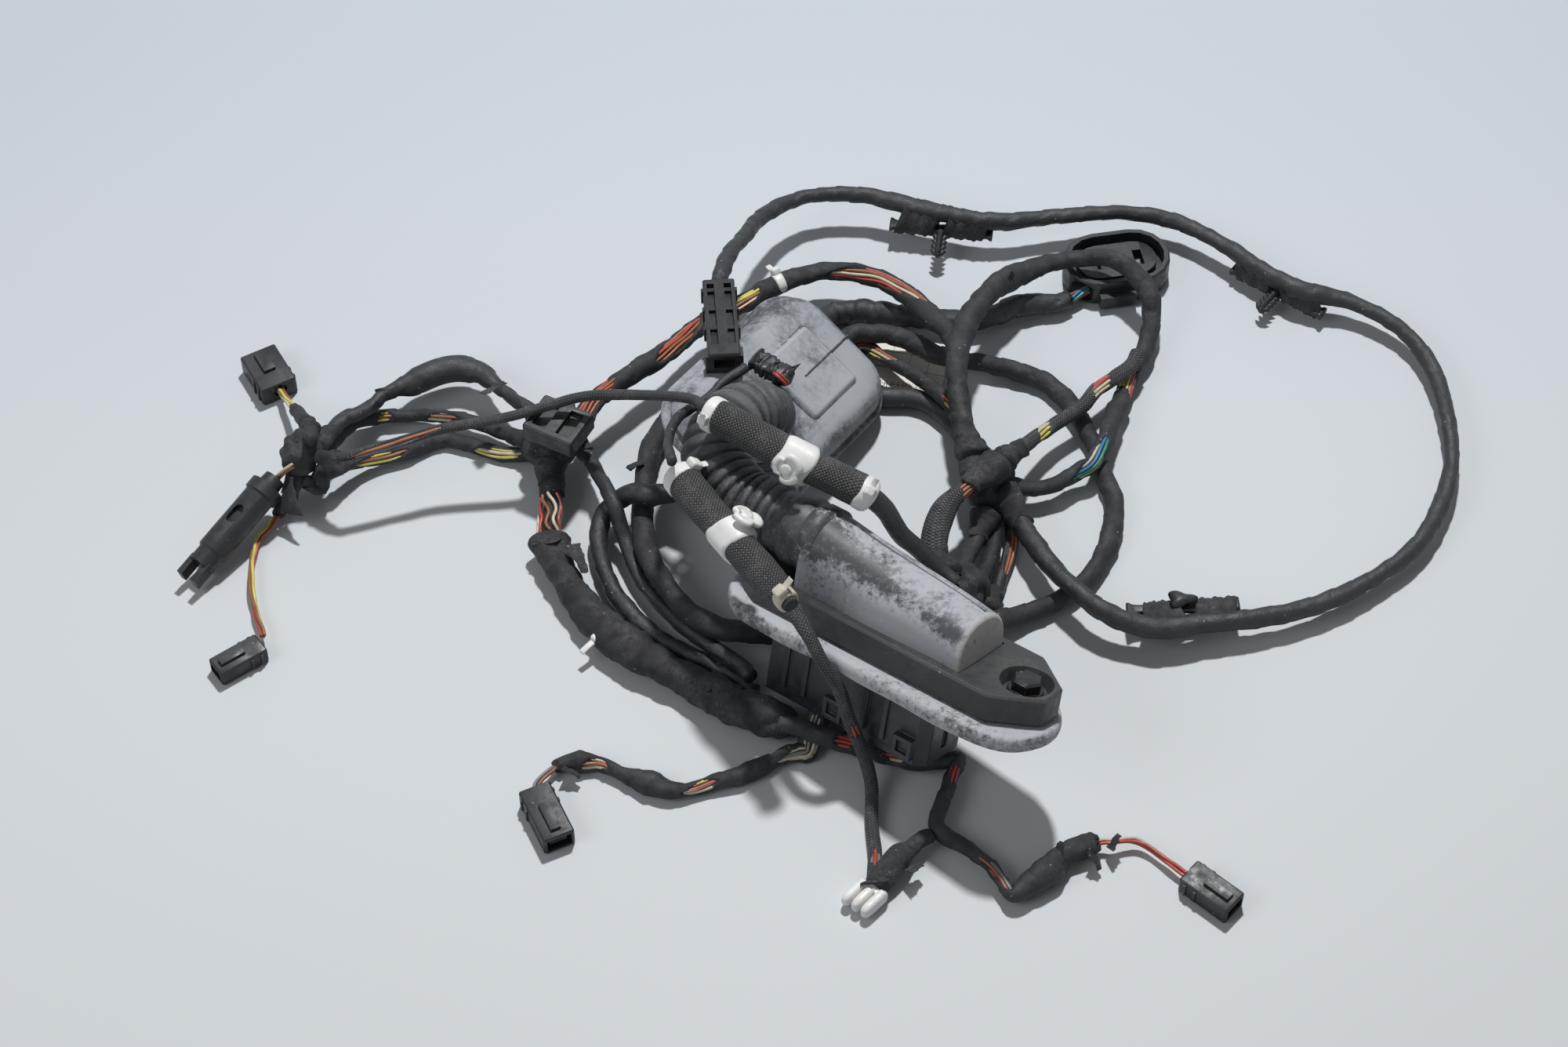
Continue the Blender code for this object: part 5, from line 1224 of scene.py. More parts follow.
# The dome: ribs with straight sides and an arched top |cos|^(1/p), |sin|^(1/p) that squares up towards
# the bolt and falls with it; both ends are rounded by insetting the last ribs on a quarter circle
def makeDome(values):
    half, bend = values["width"] / 2, values["round"]
    share = np.linspace(0, 1, 84)
    beta = np.linspace(np.pi / 2, 0, 10, endpoint=False)
    leftX = values["left"] + 0.0030 * (1 - np.sin(beta)) - 0.0004
    leftInset = 0.0030 * (1 - np.cos(beta))
    rightX = values["right"] - bend + bend * np.sin(beta[::-1])
    rightInset = bend * (1 - np.cos(beta[::-1]))
    middleX = values["left"] + 0.0028 + share * (values["right"] - bend - values["left"] - 0.0028)
    x = np.concatenate([leftX, middleX, rightX])
    inset = np.concatenate([leftInset, np.zeros(len(share)), rightInset])
    s = np.clip((x - values["left"]) / (values["right"] - values["left"]), 0, 1)[:, None]
    top = values["topLeft"] + s * (values["topRight"] - values["topLeft"])
    top = top + values["crest"] * smoothStep(s, 0.25, 0.9)
    power = 1.0 + 0.10 * s
    shoulder = top - half * (1.0 - 0.12 * s)
    a = np.linspace(0, np.pi, 72)[None]
    c, sn = np.cos(a), np.clip(np.sin(a), 0, 1)
    y = -half * np.sign(c) * np.abs(c) ** (1 / power)
    z = shoulder + (top - shoulder) * sn ** (1 / (power + 0.12 * s))
    foot = values["lipThick"] / 2
    down = np.linspace(0, 1, 16)[None, :-1]
    flare = 0.0010 * (1 - down) ** 3
    near = np.stack([np.broadcast_to(-half - flare, (len(x), 15)), foot + (shoulder - foot) * down], -1)
    far = np.stack([np.broadcast_to(half + flare, (len(x), 15)), foot + (shoulder - foot) * down], -1)[:, ::-1]
    ring = np.concatenate([near, np.stack([y, z], -1), far], 1)
    mid = np.stack([np.zeros(len(x)), (top[:, 0] + foot) / 2], -1)[:, None]
    size = np.maximum(np.abs(ring - mid), 1e-6)
    ring = mid + (ring - mid) * np.clip(1 - inset[:, None, None] / size.max(1, keepdims=True), 0, 1)
    dent = 0.00035 * np.sin(120 * x[:, None] + 2.0) * np.sin(0.11 * np.arange(ring.shape[1]))[None]
    ring[..., 0] *= 1 + dent / half
    lean = values["slope"] * (ring[..., 1] - 0.0186) * smoothStep(s, 0.85, 1.0)
    grid = np.stack([x[:, None] - lean, ring[..., 0], ring[..., 1]], -1)
    v = np.linspace(0, 1, ring.shape[1])[None]
    centre = 0.305 + 0.02 * np.sin(6 * s)
    band = np.exp(-(((v - centre) / (0.125 - 0.045 * s)) ** 2))
    deep = 1 - 0.35 * smoothStep(s, 0.45, 0.70) + 0.35 * smoothStep(s, 0.78, 0.95)
    bloom = 0.98 - 1.10 * band * smoothStep(s, 0.0, 0.12) * deep
    bare = 1 - smoothStep(s, 0.0, 0.15 + 0.12 * smoothStep(v, 0.2, 0.4))
    bloom = bloom - 0.85 * bare * smoothStep(v, 0.10, 0.26)
    bloom = bloom - 0.30 * np.exp(-(((v - 0.66) / 0.10) ** 2)) * smoothStep(s, 0.1, 0.4)
    pale = smoothStep(s, 0.955, 1.0) + 0.45 * smoothStep(0.16 - v, 0, 0.12) * smoothStep(s, 0.45, 0.9)
    pale = np.broadcast_to(np.clip(pale, 0, 1), bloom.shape)
    return shellOf(toWorld(grid, bootFrame), "bootRubber", None, {"bloom": bloom, "pale": pale})


# The drum and collar: (radius, reach) turned about the hose's axis
def makeDrum(values):
    drum, collar = values["drum"] / 2, values["collar"] / 2
    reach = values["left"] - values["drumLeft"]
    profile = np.array([
        (drum * 0.6, -0.006), (drum, -0.005), (drum, 0.001), (drum - 0.0006, 0.0022), (drum - 0.0006, 0.0030),
        (drum, 0.0042),
        (drum, reach - 0.0016), (drum - 0.0005, reach - 0.0006), (drum - 0.0014, reach),
        (collar + 0.0002, reach + 0.0002),
        (collar - 0.0003, reach + 0.0016), (collar, reach + 0.0028), (collar, reach + 0.0042),
        (collar - 0.0005, reach + 0.0050),
        (collar, reach + 0.0058), (collar - 0.0004, reach + values["collarLength"]),
        (collar - 0.003, reach + values["collarLength"]),
    ])
    angle = turnOf(64)
    height = values["topLeft"] - values["drumDrop"] - drum
    grid = np.stack([
        np.repeat((values["left"] - profile[:, 1])[:, None], 64, 1),
        profile[:, 0, None] * np.cos(angle)[None],
        height + profile[:, 0, None] * np.sin(angle)[None],
    ], -1)
    bloom = np.where(profile[:, 1] < 0.004, 0.05, -0.25)[:, None] * np.ones((1, 64))
    return shellOf(toWorld(grid, bootFrame), "bootRubber", None, {"bloom": bloom, "pale": 0 * bloom})


# A thin mould line along the crest of the dome
def makeCrestLine(values):
    x = np.linspace(values["left"] + 0.004, values["right"] - 0.004, 60)
    s = (x - values["left"]) / (values["right"] - values["left"])
    top = values["topLeft"] + s * (values["topRight"] - values["topLeft"])
    shift = 0.0028 + 0.0012 * s
    top = top + values["crest"] * smoothStep(s, 0.25, 0.9)
    path = np.stack([x, shift, top - 0.00025 - 0.0004 * s], -1)
    marks = {"bloom": -0.5 * np.ones((60, 10)), "pale": np.zeros((60, 10))}
    return shellOf(ringsOf(toWorld(path, bootFrame), 0.00045, 10), "bootRubber", None, marks)


def makeBoot(values):
    shells = [makeLip(values), makeDome(values), makeDrum(values), makeCrestLine(values)]
    return pieceOf("pillar_boot_skin", shells, "pillar_boot")


# Door grommet: profiles of (inset, height) round a rounded rectangle, joined to a round neck
grommetValues = {
    "at": (-0.0246, 0.0625, 0.0384), "yaw": -124.0, "rise": 8.0, "lean": 27.0,
    "length": 0.0920, "width": 0.0590, "corner": 0.0160, "panel": (-0.0140, 0.0010, 0.0280),
    "neck": (0.0250, 0.0000), "well": 0.0158,
}
grommetFrame = frameOf(grommetValues["at"], grommetValues["yaw"], grommetValues["rise"], grommetValues["lean"])


# The outline of a rounded rectangle: corner centres and edges, and the directions out of them
def cornerOutline(halfX, halfY, arc=20, edge=24):
    parts, outs = [], []
    for cx, cy, start, nx, ny in ((halfX, -halfY, -90, halfX, halfY), (halfX, halfY, 0, -halfX, halfY),
                                  (-halfX, halfY, 90, -halfX, -halfY), (-halfX, -halfY, 180, halfX, -halfY)):
        angle = np.radians(start + np.linspace(0, 90, arc))
        parts.append(np.repeat([[cx, cy]], arc, 0))
        outs.append(np.stack([np.cos(angle), np.sin(angle)], -1))
        t = np.linspace(0, 1, edge + 2)[1:-1, None]
        parts.append(np.array([[cx, cy]]) * (1 - t) + np.array([[nx, ny]]) * t)
        outs.append(np.repeat(outs[-1][-1:], edge, 0))
    return np.concatenate(parts), np.concatenate(outs)


def makeGrommet(values):
    corner = values["corner"]
    base, out = cornerOutline(values["length"] / 2 - corner, values["width"] / 2 - corner)
    outer = np.array([
        (0.0085, 0.0002), (0.0064, -0.0001), (0.0046, -0.0009), (0.0030, -0.0022), (0.0018, -0.0038),
        (0.0010, -0.0055),
        (0.0004, -0.0071), (0.0001, -0.0075), (0.0005, -0.0080), (0.0006, -0.0092), (-0.0010, -0.0097),
        (-0.0022, -0.0103),
        (-0.0025, -0.0113), (-0.0021, -0.0123), (-0.0008, -0.0125), (0.0004, -0.0122), (0.0026, -0.0085),
        (0.0036, -0.0062), (0.0066, -0.0028),
    ])
    count = len(base)
    around = turnOf(count)
    skirt = base[None] + (corner - outer[:, 0, None, None]) * out[None]
    height = np.repeat(outer[:, 1, None], count, 1)
    height = height + 0.0003 * np.sin(4 * around + 1)[None] * (outer[:, 1, None] < -0.009)
    angle = np.arctan2(skirt[0, :, 1] - values["neck"][1], skirt[0, :, 0] - values["neck"][0])
    well = values["well"]
    circles = np.array([
        (well - 0.0004, -0.0028), (well - 0.0006, -0.0010), (well, 0.0008), (well + 0.0006, 0.0014),
        (well + 0.0014, 0.0015), (well + 0.0022, 0.0009), (well + 0.0030, 0.0001),
    ])
    spoke = np.stack([np.cos(angle), np.sin(angle)], -1)[None]
    ring = np.array(values["neck"])[None, None] + circles[:, 0, None, None] * spoke
    face = np.linspace(0, 1, 12)[1:-1, None, None]
    top = ring[-1][None] * (1 - face) + skirt[0][None] * face
    crown = 0.0001 + 0.0005 * np.sin(np.pi * face[:, 0, 0])
    flat = np.concatenate([ring, top, skirt])
    heights = np.concatenate([np.repeat(circles[:, 1, None], count, 1), np.repeat(crown[:, None], count, 1), height])
    grid = np.concatenate([flat, heights[..., None]], -1)
    skirtLevel = np.interp(outer[:, 1], (-0.0125, -0.009, -0.005, -0.001, 0), (0.75, 0.25, 0.55, 0.45, 0.80))
    # The neck well's rim and inside are painted dark as shade in the hole, and the face grows darker towards the well
    level = np.concatenate([np.full(7, 0.15), np.linspace(0.35, 0.80, 10), skirtLevel])
    bloom = level[:, None] + 0.12 * np.sin(2 * around + 0.8)[None]
    marks = {"bloom": bloom, "pale": 0 * bloom}
    shells = [shellOf(toWorld(grid, grommetFrame), "grommetRubber", None, marks, loop=True)]
    px, py, side = values["panel"]
    panelBase, panelOut = cornerOutline(side / 2 - 0.0012, side / 2 - 0.0012, 6, 20)
    steps = np.array([
        (-0.0022, -0.0008), (-0.0014, 0.0005), (-0.0008, 0.0009), (-0.0002, 0.0017),
        (0.0003, 0.0021), (0.0009, 0.0022), (0.00119, 0.0022),
    ])
    plane = panelBase[None] + (0.0012 - steps[:, 0, None, None]) * panelOut[None] + np.array([px, py])
    grid = np.concatenate([plane, np.repeat(steps[:, 1, None, None], plane.shape[1], 1)], -1)
    # Painted shade at the panel's foot and a painted highlight along its top edge
    bloom = np.array([0.3, 0.2, 0.35, 0.75, 1.0, 0.95, 0.80])[:, None] * np.ones((1, plane.shape[1]))
    shells.append(shellOf(toWorld(grid, grommetFrame), "grommetRubber", None, {"bloom": bloom, "pale": 0 * bloom}))
    line, run = smoothPath([
        (px + 0.004, py, 0.0022), (px - 0.0125, py, 0.0022), (px - 0.0158, py, 0.0009),
        (-0.0385, py, 0.0004), (-0.0430, py, -0.0012), (-0.0450, py, -0.0056),
    ], 0.0008)
    marks = {"bloom": np.full((len(run), 10), 0.10), "pale": np.zeros((len(run), 10))}
    shells.append(shellOf(ringsOf(toWorld(line, grommetFrame), 0.00042, 10), "grommetRubber", run, marks))
    return pieceOf("door_grommet_skin", shells, "door_grommet")


# Bellows: a tube whose radius is root + depth * (half of 1 + cos)^0.7, once for each rib
hoseValues = {"root": 0.0112, "crown": 0.0130, "ribs": 19, "sides": 64, "route": (
    (-0.0428, 0.0315, 0.0592), (-0.0498, 0.0195, 0.0605), (-0.0496, 0.0060, 0.0600), (-0.0402, -0.0070, 0.0582),
)}


def makeHose(values):
    neck = grommetValues["neck"]
    foot = toWorld(np.array([(*neck, -0.0024), (*neck, 0.0095)]), grommetFrame)
    height = bootValues["topLeft"] - bootValues["drumDrop"] - bootValues["drum"] / 2
    reach = bootValues["drumLeft"] - bootValues["collarLength"]
    head = toWorld(np.array([(reach - 0.005, 0, height), (reach + 0.0004, 0, height)]), bootFrame)
    path, run = smoothPath([*foot, *values["route"], *head], 0.0003)
    phase = np.mod(run / run[-1] * values["ribs"], 1.0)
    crest = (0.5 + 0.5 * np.cos(2 * np.pi * (phase - 0.5 + 0.10 * np.sin(2 * np.pi * phase)))) ** 0.7
    radius = values["root"] + (values["crown"] - values["root"]) * crest
    angle = turnOf(values["sides"])
    oval = 1 + 0.012 * np.cos(2 * angle)[None] * np.sin(np.pi * run / run[-1])[:, None]
    grid = ringsOf(path, radius[:, None] * oval, values["sides"])
    # The rib mark: 0 in the hollows, where the material paints shade, to 1 on the crowns, where it paints dust
    bloom = crest[:, None] * np.ones((1, values["sides"]))
    return pieceOf("bellows_hose_skin", [shellOf(grid, "hoseRubber", run, {"bloom": bloom})], "bellows_hose")


# A CAD solid with its edges rounded: doubles merged, flat faces joined, then a Bevel
def softCopy(node, width, finish, body):
    sharp = math.radians(32)
    source = bmesh.new()
    source.from_mesh(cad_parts[node].data)
    bmesh.ops.remove_doubles(source, verts=source.verts, dist=0.000004)
    bmesh.ops.dissolve_limit(source, angle_limit=math.radians(0.6), verts=source.verts, edges=source.edges)
    data = bpy.data.meshes.new(node + "_skin")
    source.to_mesh(data)
    source.free()
    data.materials.clear()
    data.materials.append(finishes[finish])
    data.shade_smooth()
    data.set_sharp_from_angle(angle=sharp)
    obj = addObject(node + "_skin", data)
    edges = obj.modifiers.new("edges", "BEVEL")
    edges.width = width
    edges.segments = 2
    edges.limit_method = "ANGLE"
    edges.angle_limit = sharp
    edges.use_clamp_overlap = True
    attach(obj, body)
    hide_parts(node)
    return obj


softValues = {
    "boot_frame": (0.0008, "framePlastic"),
    "captive_bolt": (0.0003, "boltCoat"),
    "connector_block": (0.0003, "blockPlastic"),
    "clamp_block": (0.0004, "plugPlastic"),
}
plugNames = (
    "cylinder_connector", "tall_connector", "oblong_connector", "top_left_plug", "small_left_plug", "lower_plug",
    "right_plug",
)
softValues.update({name: (0.0003, "plugPlastic") for name in plugNames})


def makeSoftCopies():
    made = {}
    for node, (width, finish) in softValues.items():
        made[node] = softCopy(node, width, finish, "bolt" if node == "captive_bolt" else "harness")
    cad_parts["terminal_insert"].material_slots[0].material = finishes["blockPlastic"]
    return made


# An edge clip: a strip taped along its cord, hooked at both ends, with a barbed stud or a small knob.
# The stud's radius is stem + barb * (1 - share of each barb)^0.7, in four wings |cos 2a|^0.8.
edgeClipValues = {
    "top_clip": {
        "at": (0.0390, 0.1735, 0.0099), "yaw": -8, "cord": "top_strand", "share": 0.225, "stud": (0, -1, -0.02),
    },
    "corner_clip": {
        "at": (0.1750, 0.1430, 0.0060), "yaw": -36, "cord": "top_strand", "share": 0.446, "stud": (0, -1, 0.12),
    },
    "right_clip": {"at": (0.1240, -0.0206, 0.0110), "yaw": 4, "cord": "top_strand", "share": 0.846, "stud": None},
}


def makeEdgeClip(name, values):
    where = frameOf(values["at"], values["yaw"])
    turn = turnOf(32)[None, :]
    square = squareOf(turn, 4)
    x = np.linspace(-0.0212, 0.0212, 44)[:, None]
    hook = smoothStep(np.abs(x), 0.0190, 0.0200)
    wide = 0.0023 + 0.0004 * np.sin(500 * x) * (1 - hook) + 0.0008 * hook
    grid = np.stack(
        [x + 0 * turn, wide * square * np.cos(turn), (0.0011 + 0.0004 * hook) * square * np.sin(turn)], -1,
    )
    shells = [shellOf(toWorld(grid, where), "plugPlastic")]
    _, path, length, diameter = cords[values["cord"]]
    share = np.linspace(0, 1, len(path))
    draw = np.random.default_rng(70 + len(name))
    for low, high in ((-0.0180, -0.0018), (0.0016, 0.0182)):
        picked = (share > values["share"] + low / length) & (share < values["share"] + high / length)
        line = path[picked]
        strip = where[0] + (line - where[0]) @ where[1][0][:, None] * where[1][0]
        centre, gap = (line + strip) / 2, strip - line
        half = np.linalg.norm(gap, axis=1) / 2
        along = unit(np.gradient(line, axis=0))
        gap = unit(gap - along * (gap * along).sum(1)[:, None])
        cross = np.cross(along, gap)
        t = np.linspace(0, 1, len(line))[:, None]
        ragged = 0.0003 * np.sin(5 * turn + 40 * t + draw.uniform(0, 6)) + 0.0003 * np.sin(2 * np.pi * 3 * t)
        tall = half[:, None] + 0.0034 + ragged
        thin = diameter * 0.46 + ragged
        band = centre[:, None] + ovalOf(turn, tall, thin, gap[:, None], cross[:, None])
        slide = 0.0010 * np.sin(2 * turn + draw.uniform(0, 6)) * np.abs(2 * t - 1) ** 4
        shells.append(shellOf(band + slide[..., None] * along[:, None], "fuzzyTape", t[:, 0] * 0.013))
    if values["stud"]:
        aim = unit(np.array(values["stud"]))
        run = np.linspace(0, 0.0128, 64)
        barb = np.mod((run - 0.0022) / 0.0027, 1.0)
        reach = np.where((run > 0.0022) & (run < 0.0122), 0.0023 * (1 - barb) ** 0.7, 0.0)[:, None]
        radius = 0.0011 + reach * (0.18 + 0.82 * np.abs(np.cos(2 * turn)) ** 0.8)
        radius[:4] = 0.0022
        side = unit(np.cross(aim, (0, 0, 1.0)))
        grid = aim * run[:, None, None] + ovalOf(turn, radius, radius, side, np.cross(side, aim))
        shells.append(shellOf(toWorld(grid + np.array([0, -0.0018, 0]), where), "plugPlastic"))
    else:
        z = np.array([0, 0.0018, 0.0022, 0.0034, 0.0042, 0.0046])[:, None]
        wide = np.array([1.0, 1.0, 2.0, 2.2, 1.2, 0.9])[:, None] * 0.0016 * (1 + 0.25 * np.cos(3 * turn))
        grid = np.stack(
            [wide * 1.5 * np.cos(turn) - 0.001, wide * np.sin(turn) + 0.0010, z + 0.0008 + 0 * turn], -1,
        )
        shells.append(shellOf(toWorld(grid, where), "plugPlastic"))
    return pieceOf(name + "_skin", shells, name)


# White plug: three round-ended chambers side by side, joined by a thin back plate
def makeWhitePlug():
    where = frameOf((0.0028, -0.1435, 0.00395), 227)
    turn = turnOf(28)[None, :]
    square = squareOf(turn, 3)
    shells = []
    for k, y in enumerate((-0.0041, 0.0, 0.0041)):
        x = (
            np.array([-0.0058, -0.0050, -0.0046, 0.0010, 0.0034, 0.0048, 0.0056, 0.0060])[:, None]
            + (0.0006, 0, -0.0004)[k]
        )
        size = np.array([0.80, 0.98, 1.0, 1.0, 0.96, 0.84, 0.62, 0.35])[:, None]
        grid = np.stack(
            [x + 0 * turn, y + 0.0020 * size * square * np.cos(turn), 0.0030 * size * square * np.sin(turn)], -1,
        )
        shells.append(shellOf(toWorld(grid, where), "nylonWhite"))
    x = np.array([-0.0056, -0.0052, -0.0034, -0.0030])[:, None]
    size = np.array([0.94, 1.0, 1.0, 0.94])[:, None]
    grid = np.stack(
        [x + 0 * turn, 0.0062 * size * square * np.cos(turn), 0.0024 * size * square * np.sin(turn)], -1,
    )
    shells.append(shellOf(toWorld(grid, where), "nylonWhite"))
    return pieceOf("white_plug_skin", shells, "white_plug")


# The small plug on the cut lead: crushed, with torn shards and red wire showing. A box section |c|^5 + |s|^5 = 1
# whose size and middle jump from ring to ring.
def makeCrushedPlug():
    where = frameOf((-0.0293, 0.0555, 0.0585), -38)
    draw = np.random.default_rng(77)
    turn = turnOf(36)[None, :]
    square = squareOf(turn, 5)
    shells = []
    for low, high, wide, tall in ((-0.0092, -0.0010, 0.0044, 0.0028), (-0.0018, 0.0074, 0.0038, 0.0034)):
        steps = 26
        x = np.linspace(low, high, steps)[:, None]
        jump = np.repeat(draw.normal(0, 1, (7, 3)), 4, axis=0)[:steps]
        size = 1 + 0.12 * jump[:, :1] + 0.07 * np.sin(4 * turn + 300 * x)
        size[[0, -1]] *= 0.8
        grid = np.stack([
            x + 0.0003 * np.sin(3 * turn),
            0.0005 * jump[:, 1:2] + wide * size * square * np.cos(turn),
            0.0003 * jump[:, 2:] + tall * size * square * np.sin(turn),
        ], -1)
        shells.append(shellOf(toWorld(grid, where), "plugPlastic"))
    for _ in range(9):
        start = np.array([draw.uniform(-0.007, 0.007), draw.uniform(-0.0042, 0.0042), 0.0022])
        aim = np.array([draw.uniform(-1, 1), draw.uniform(-1.2, 1.2), draw.uniform(0.2, 0.9)])
        t = np.linspace(0, 1, 6)[:, None]
        up = np.array([0, 0, 1.0])
        line = start + unit(aim) * 0.0036 * t
        grid = line[:, None] + ovalOf(turn, 0.0012 * (1.1 - t), 0.00028, unit(np.cross(aim, up)), up)
        shells.append(shellOf(toWorld(grid, where), "plugPlastic"))
    for y in (-0.0024, -0.0010):
        bend = [
            (0.0010, y, 0.0020), (0.0040, y - 0.0012, 0.0036), (0.0068, y - 0.0010, 0.0020), (0.0078, y, -0.0004),
        ]
        line, run = smoothPath(bend, 0.0004)
        shells.append(shellOf(ringsOf(toWorld(line, where), 0.0006, 10), "red", run))
    return pieceOf("cut_plug_skin", shells, "cut_plug")


# A clip on a sleeve: a wrapped band with uneven ends, and a button of three lobes on a short stem
clipValues = {
    "sleeve_one_clip": {
        "cord": "sleeve_one", "share": 0.30, "width": 0.0140, "button": 0.0060, "aim": (-0.1, -0.90, 0.43),
        "finish": "nylonWhite",
    },
    "sleeve_two_clip": {
        "cord": "sleeve_two", "share": 0.50, "width": 0.0130, "button": 0.0062, "aim": (0.65, -0.05, 0.75),
        "finish": "nylonWhite",
    },
}


def makeClip(name, values):
    _, path, length, diameter = cords[values["cord"]]
    share = np.linspace(0, 1, len(path))
    half = values["width"] / 2 / length
    picked = (share > values["share"] - half) & (share < values["share"] + half)
    line = path[picked]
    turn = turnOf(56)[None, :]
    t = np.linspace(-1, 1, len(line))[:, None]
    lobe = 0.0007 * np.maximum(np.cos(turn - 1.2), 0) ** 2 + 0.00022 * np.sin(5 * turn)
    edge = 1 - 0.10 * np.abs(t) ** 8
    radius = (diameter / 2 + 0.0009 + lobe) * edge
    grid = ringsOf(line, radius, 56)
    tangent, out, right = standOn(line, values["aim"])
    slide = 0.0012 * np.sin(2 * turn + 0.5) * np.abs(t) ** 3
    grid = grid + slide[..., None] * tangent
    shells = [shellOf(grid, values["finish"])]
    size = values["button"]
    profile = np.array([
        (0.30, -0.0020), (0.46, -0.0004), (0.46, 0.0016), (0.90, 0.0020), (1.00, 0.0026), (1.00, 0.0034),
        (0.90, 0.0040), (0.62, 0.0042), (0.56, 0.0036), (0.40, 0.0036), (0.36, 0.0044), (0.20, 0.0045),
    ])
    angle = turnOf(72)
    notch = (
        1 - 0.30 * np.exp(-((np.mod(angle * 3 / (2 * np.pi) + 0.5, 1) - 0.5) / 0.12) ** 2)
        + 0.08 * np.sin(angle + 1)
    )
    shape = np.where(profile[:, 0, None] > 0.6, notch[None], 1.0)
    flat = profile[:, 0, None] * size * shape
    middle = line[len(line) // 2] + out * (diameter / 2 + 0.0010)
    disc = middle + ovalOf(angle, flat, flat, tangent, right) + profile[:, 1, None, None] * out
    shells.append(shellOf(disc, values["finish"]))
    return pieceOf(name + "_skin", shells, name)


# Ties round a cord: a thin band, a square head and a cut tail, at a share of the cord's length.
# The trunk's tie is under its tape, and only the head and the tail stand out
tieValues = {
    "cable_tie_skin": ("sleeve_two", 0.945, 0.0036, (0.10, -0.65, 0.75), 0.0060, "nylonBeige", "cable_tie"),
    "tie_sleeve_one_start": ("sleeve_one", 0.016, 0.0030, (-0.9, -0.2, 0.35), 0.0030, "nylonWhite", None),
    "tie_sleeve_one_end": ("sleeve_one", 0.497, 0.0028, (0.5, -0.6, 0.6), 0.0050, "nylonWhite", None),
    "tie_sleeve_two_start": ("sleeve_two", 0.045, 0.0040, (0.5, 0.5, 0.7), 0.0050, "nylonWhite", None),
    "tie_main_one": ("main_left", 0.430, 0.0030, (0.3, 0.7, 0.6), 0.0060, "nylonWhite", None),
    "tie_near_lead": ("near_lead", 0.045, 0.0030, (0.2, 0.8, 0.5), 0.0060, "nylonWhite", None),
    "tie_trunk": ("trunk", 0.590, 0.0030, (-0.15, -1.0, 0.05), 0.0075, "nylonWhite", None),
}


def makeTie(name, values):
    cord, share, width, aim, tail, finish, node = values
    _, path, length, diameter = cords[cord]
    spread = np.linspace(0, 1, len(path))
    under = name == "tie_trunk"
    radius = diameter / 2 * taperOf(cord, share) + (-0.0018 if under else 0.0006)
    picked = np.abs(spread - share) < width / 2 / length + 0.0012 / length
    line = path[picked]
    turn = turnOf(48)[None, :]
    t = np.linspace(-1, 1, len(line))[:, None]
    shells = [shellOf(ringsOf(line, radius * (1 - 0.06 * t ** 6) + 0.00012 * np.sin(4 * turn), 48), finish)]
    tangent, out, right = standOn(line, aim)
    square = squareOf(turn, 6)
    rise = np.array([-0.0006, 0.0004, 0.0018, 0.0024, 0.0025])[:, None]
    wide = np.array([0.9, 1.0, 1.0, 0.85, 0.6])[:, None] * max(width, 0.003) * 0.62 * square
    middle = line[len(line) // 2] + out * radius
    head = middle + ovalOf(turn, wide, wide, tangent, right) + rise[..., None] * out
    shells.append(shellOf(head, finish))
    k = np.linspace(0, 1, 14)[:, None]
    along, thick = (out, -right) if under else (right, out)
    strip = middle + out * 0.0010 + along * (tail * k) + thick * (0.0016 * k**2)
    grid = strip[:, None] + ovalOf(turn, width * 0.40, 0.0004, tangent, thick)
    shells.append(shellOf(grid, finish))
    return pieceOf(name, shells, node)


# The paper label: a creased sheet, a thin slab whose top and bottom are one closed ring of rows
def makeLabel():
    place = frameOf((0.0205, 0.1070, 0.0), -12)
    rows, columns = 34, 40
    x = np.linspace(-0.0188, 0.0188, columns)
    y = np.linspace(-0.0178, 0.0158, rows)[:, None]
    lift = 0.0002 + 0.00025 * (1 + np.sin(210 * x + 60 * y)) * (1 + np.sin(150 * y + 1)) / 2
    top = np.stack([np.broadcast_to(x, (rows, columns)), np.broadcast_to(y, (rows, columns)), lift + 0.00018], -1)
    low = top.copy()
    low[..., 2] -= 0.00014
    ring = np.concatenate([top, low[:, ::-1]], 1)
    shell = shellOf(toWorld(ring, place), "labelPaper")
    u = np.tile(np.concatenate([np.linspace(0, 1, columns), np.linspace(1, 0, columns)]), rows)
    v = np.repeat(np.linspace(0, 1, rows), 2 * columns)
    flatUv = np.concatenate([np.stack([u, v], -1), [[0.5, 0], [0.5, 1]]])
    shell["quadUv"], shell["fanUv"] = flatUv[shell["quads"]], flatUv[shell["fans"]]
    return pieceOf("paper_label_skin", [shell], "paper_label")


for seed, (name, values) in enumerate(knotValues.items()):
    makeKnot(name, values, 300 + seed)
makeFlaps()
makeBoot(bootValues)
makeGrommet(grommetValues)
makeHose(hoseValues)
housings = makeSoftCopies()
for name, values in edgeClipValues.items():
    makeEdgeClip(name, values)
makeWhitePlug()
makeCrushedPlug()
for name, values in clipValues.items():
    makeClip(name, values)
for name, values in tieValues.items():
    makeTie(name, values)
makeLabel()
print("boot, grommet, hose, housings, clips, ties and label made")


# Goes through the bundles and passes over those shorter than 30 mm or six diameters; nothing is done with the others
def declareCords():
    for name, (piece, path, length, diameter) in cords.items():
        if length < max(0.03, 6 * diameter):
            continue


declareCords()


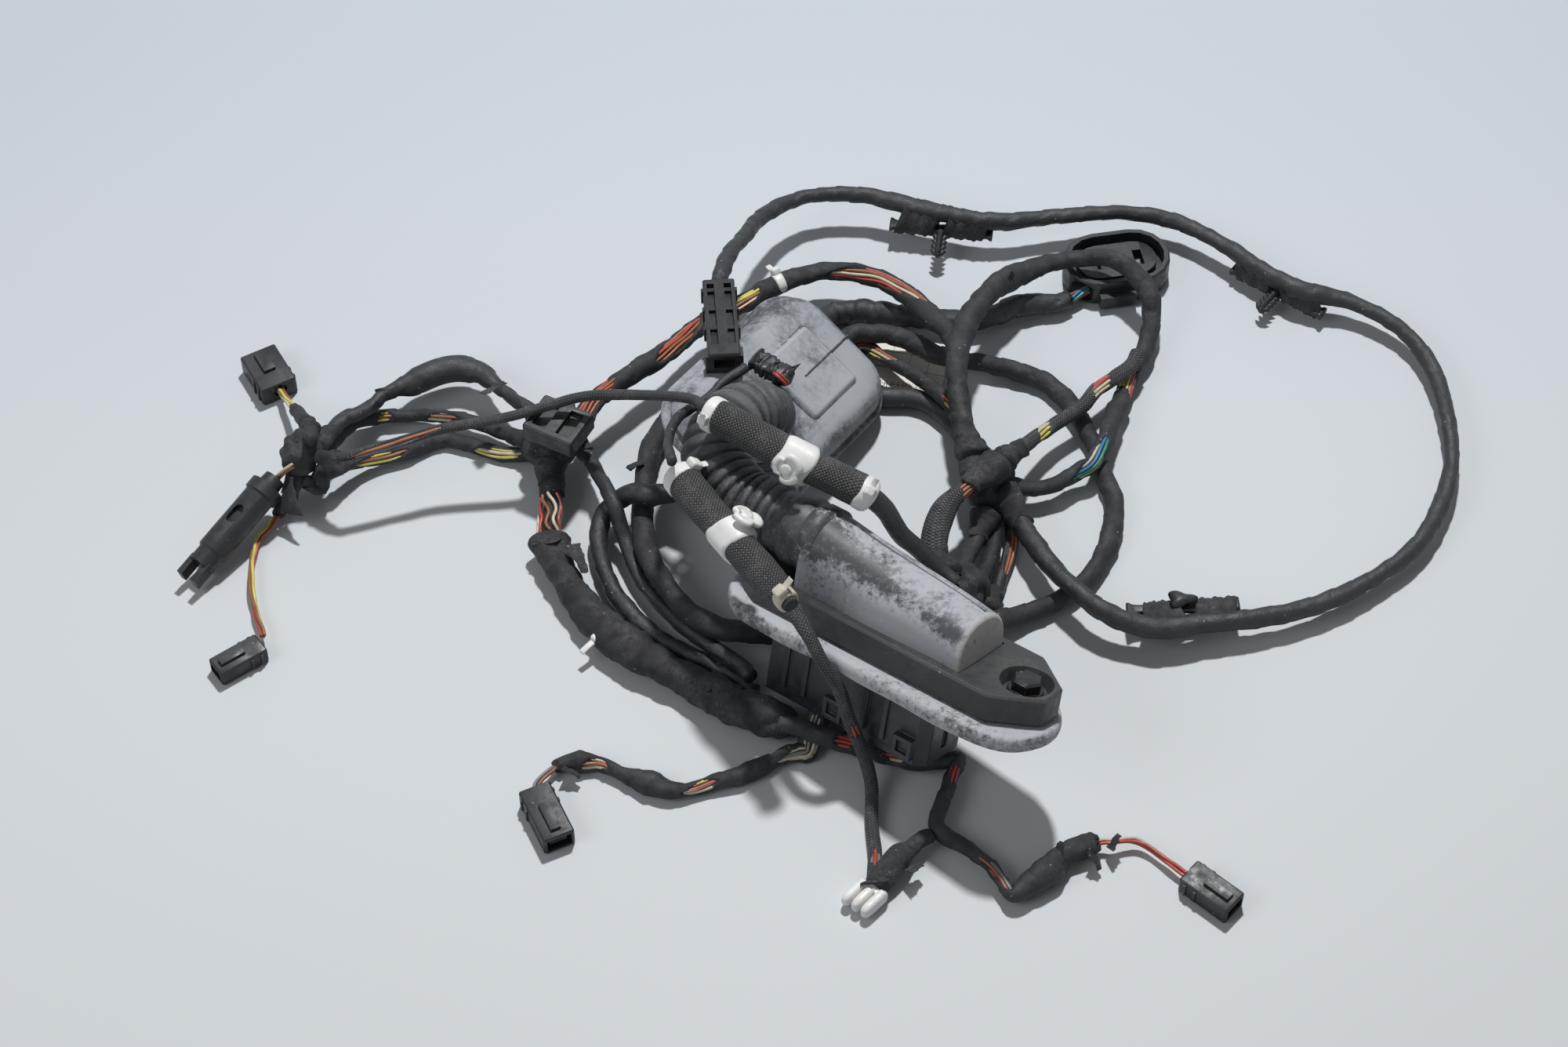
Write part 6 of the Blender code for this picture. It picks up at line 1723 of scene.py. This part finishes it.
def makeFloor(values):
    half = values["floorSize"] / 2
    mesh = bpy.data.meshes.new("floor")
    mesh.from_pydata([(-half, -half, 0), (half, -half, 0), (half, half, 0), (-half, half, 0)], [], [(0, 1, 2, 3)])
    made, tree, shader = newMaterial("floorPaint", values["floorColour"], 0.55)
    where = objectVector(tree)
    # Painted falloff of the light: the floor darkens and turns bluer towards the far side
    depth = remap(tree, splitOf(tree, where)[1], values["fadeFrom"], values["fadeTo"])
    colour = mixColour(tree, depth, values["floorColour"], values["floorFar"])
    cloud = noise(tree, where, 3.0, 2.0, 0.5)
    colour = mixColour(tree, times(tree, cloud, 0.12), colour, values["floorCloud"])
    wire(tree, colour, shader.inputs["Base Color"])
    shader.inputs["Specular IOR Level"].default_value = 0.25
    mesh.materials.append(made)
    addObject("floor", mesh)


def makeLamp(name, at, power, size):
    data = bpy.data.lights.new(name, "AREA")
    data.energy, data.size, data.shape = power, size, "DISK"
    lamp = addObject(name, data)
    lamp.location = at
    lamp.rotation_mode = "QUATERNION"
    lamp.rotation_quaternion = (Vector(at) - Vector(viewValues["lampAim"])).to_track_quat("Z", "Y")


def makeWorld(values):
    world = bpy.data.worlds.new("studio")
    bpy.context.scene.world = world
    world.use_nodes = True
    tree = world.node_tree
    tree.nodes.clear()
    rays = place(tree, "ShaderNodeLightPath")
    seen = maths(tree, "MAXIMUM", rays.outputs["Is Camera Ray"], rays.outputs["Is Glossy Ray"])
    seen = maths(tree, "MAXIMUM", seen, rays.outputs["Is Transmission Ray"])
    room = place(tree, "ShaderNodeBackground", {"Color": (1, 1, 1, 1), "Strength": values["ambient"]})
    back = place(tree, "ShaderNodeBackground", {"Color": (*values["floorFar"], 1), "Strength": 1.0})
    mix = place(tree, "ShaderNodeMixShader")
    wire(tree, seen, mix.inputs[0])
    wire(tree, room.outputs[0], mix.inputs[1])
    wire(tree, back.outputs[0], mix.inputs[2])
    wire(tree, mix.outputs[0], place(tree, "ShaderNodeOutputWorld").inputs[0])


makeFloor(viewValues)
makeLamp("keyLamp", viewValues["keyAt"], viewValues["keyPower"], viewValues["keySize"])
makeLamp("sideLamp", viewValues["sideAt"], viewValues["sidePower"], viewValues["sideSize"])
makeWorld(viewValues)
print("floor and light made")
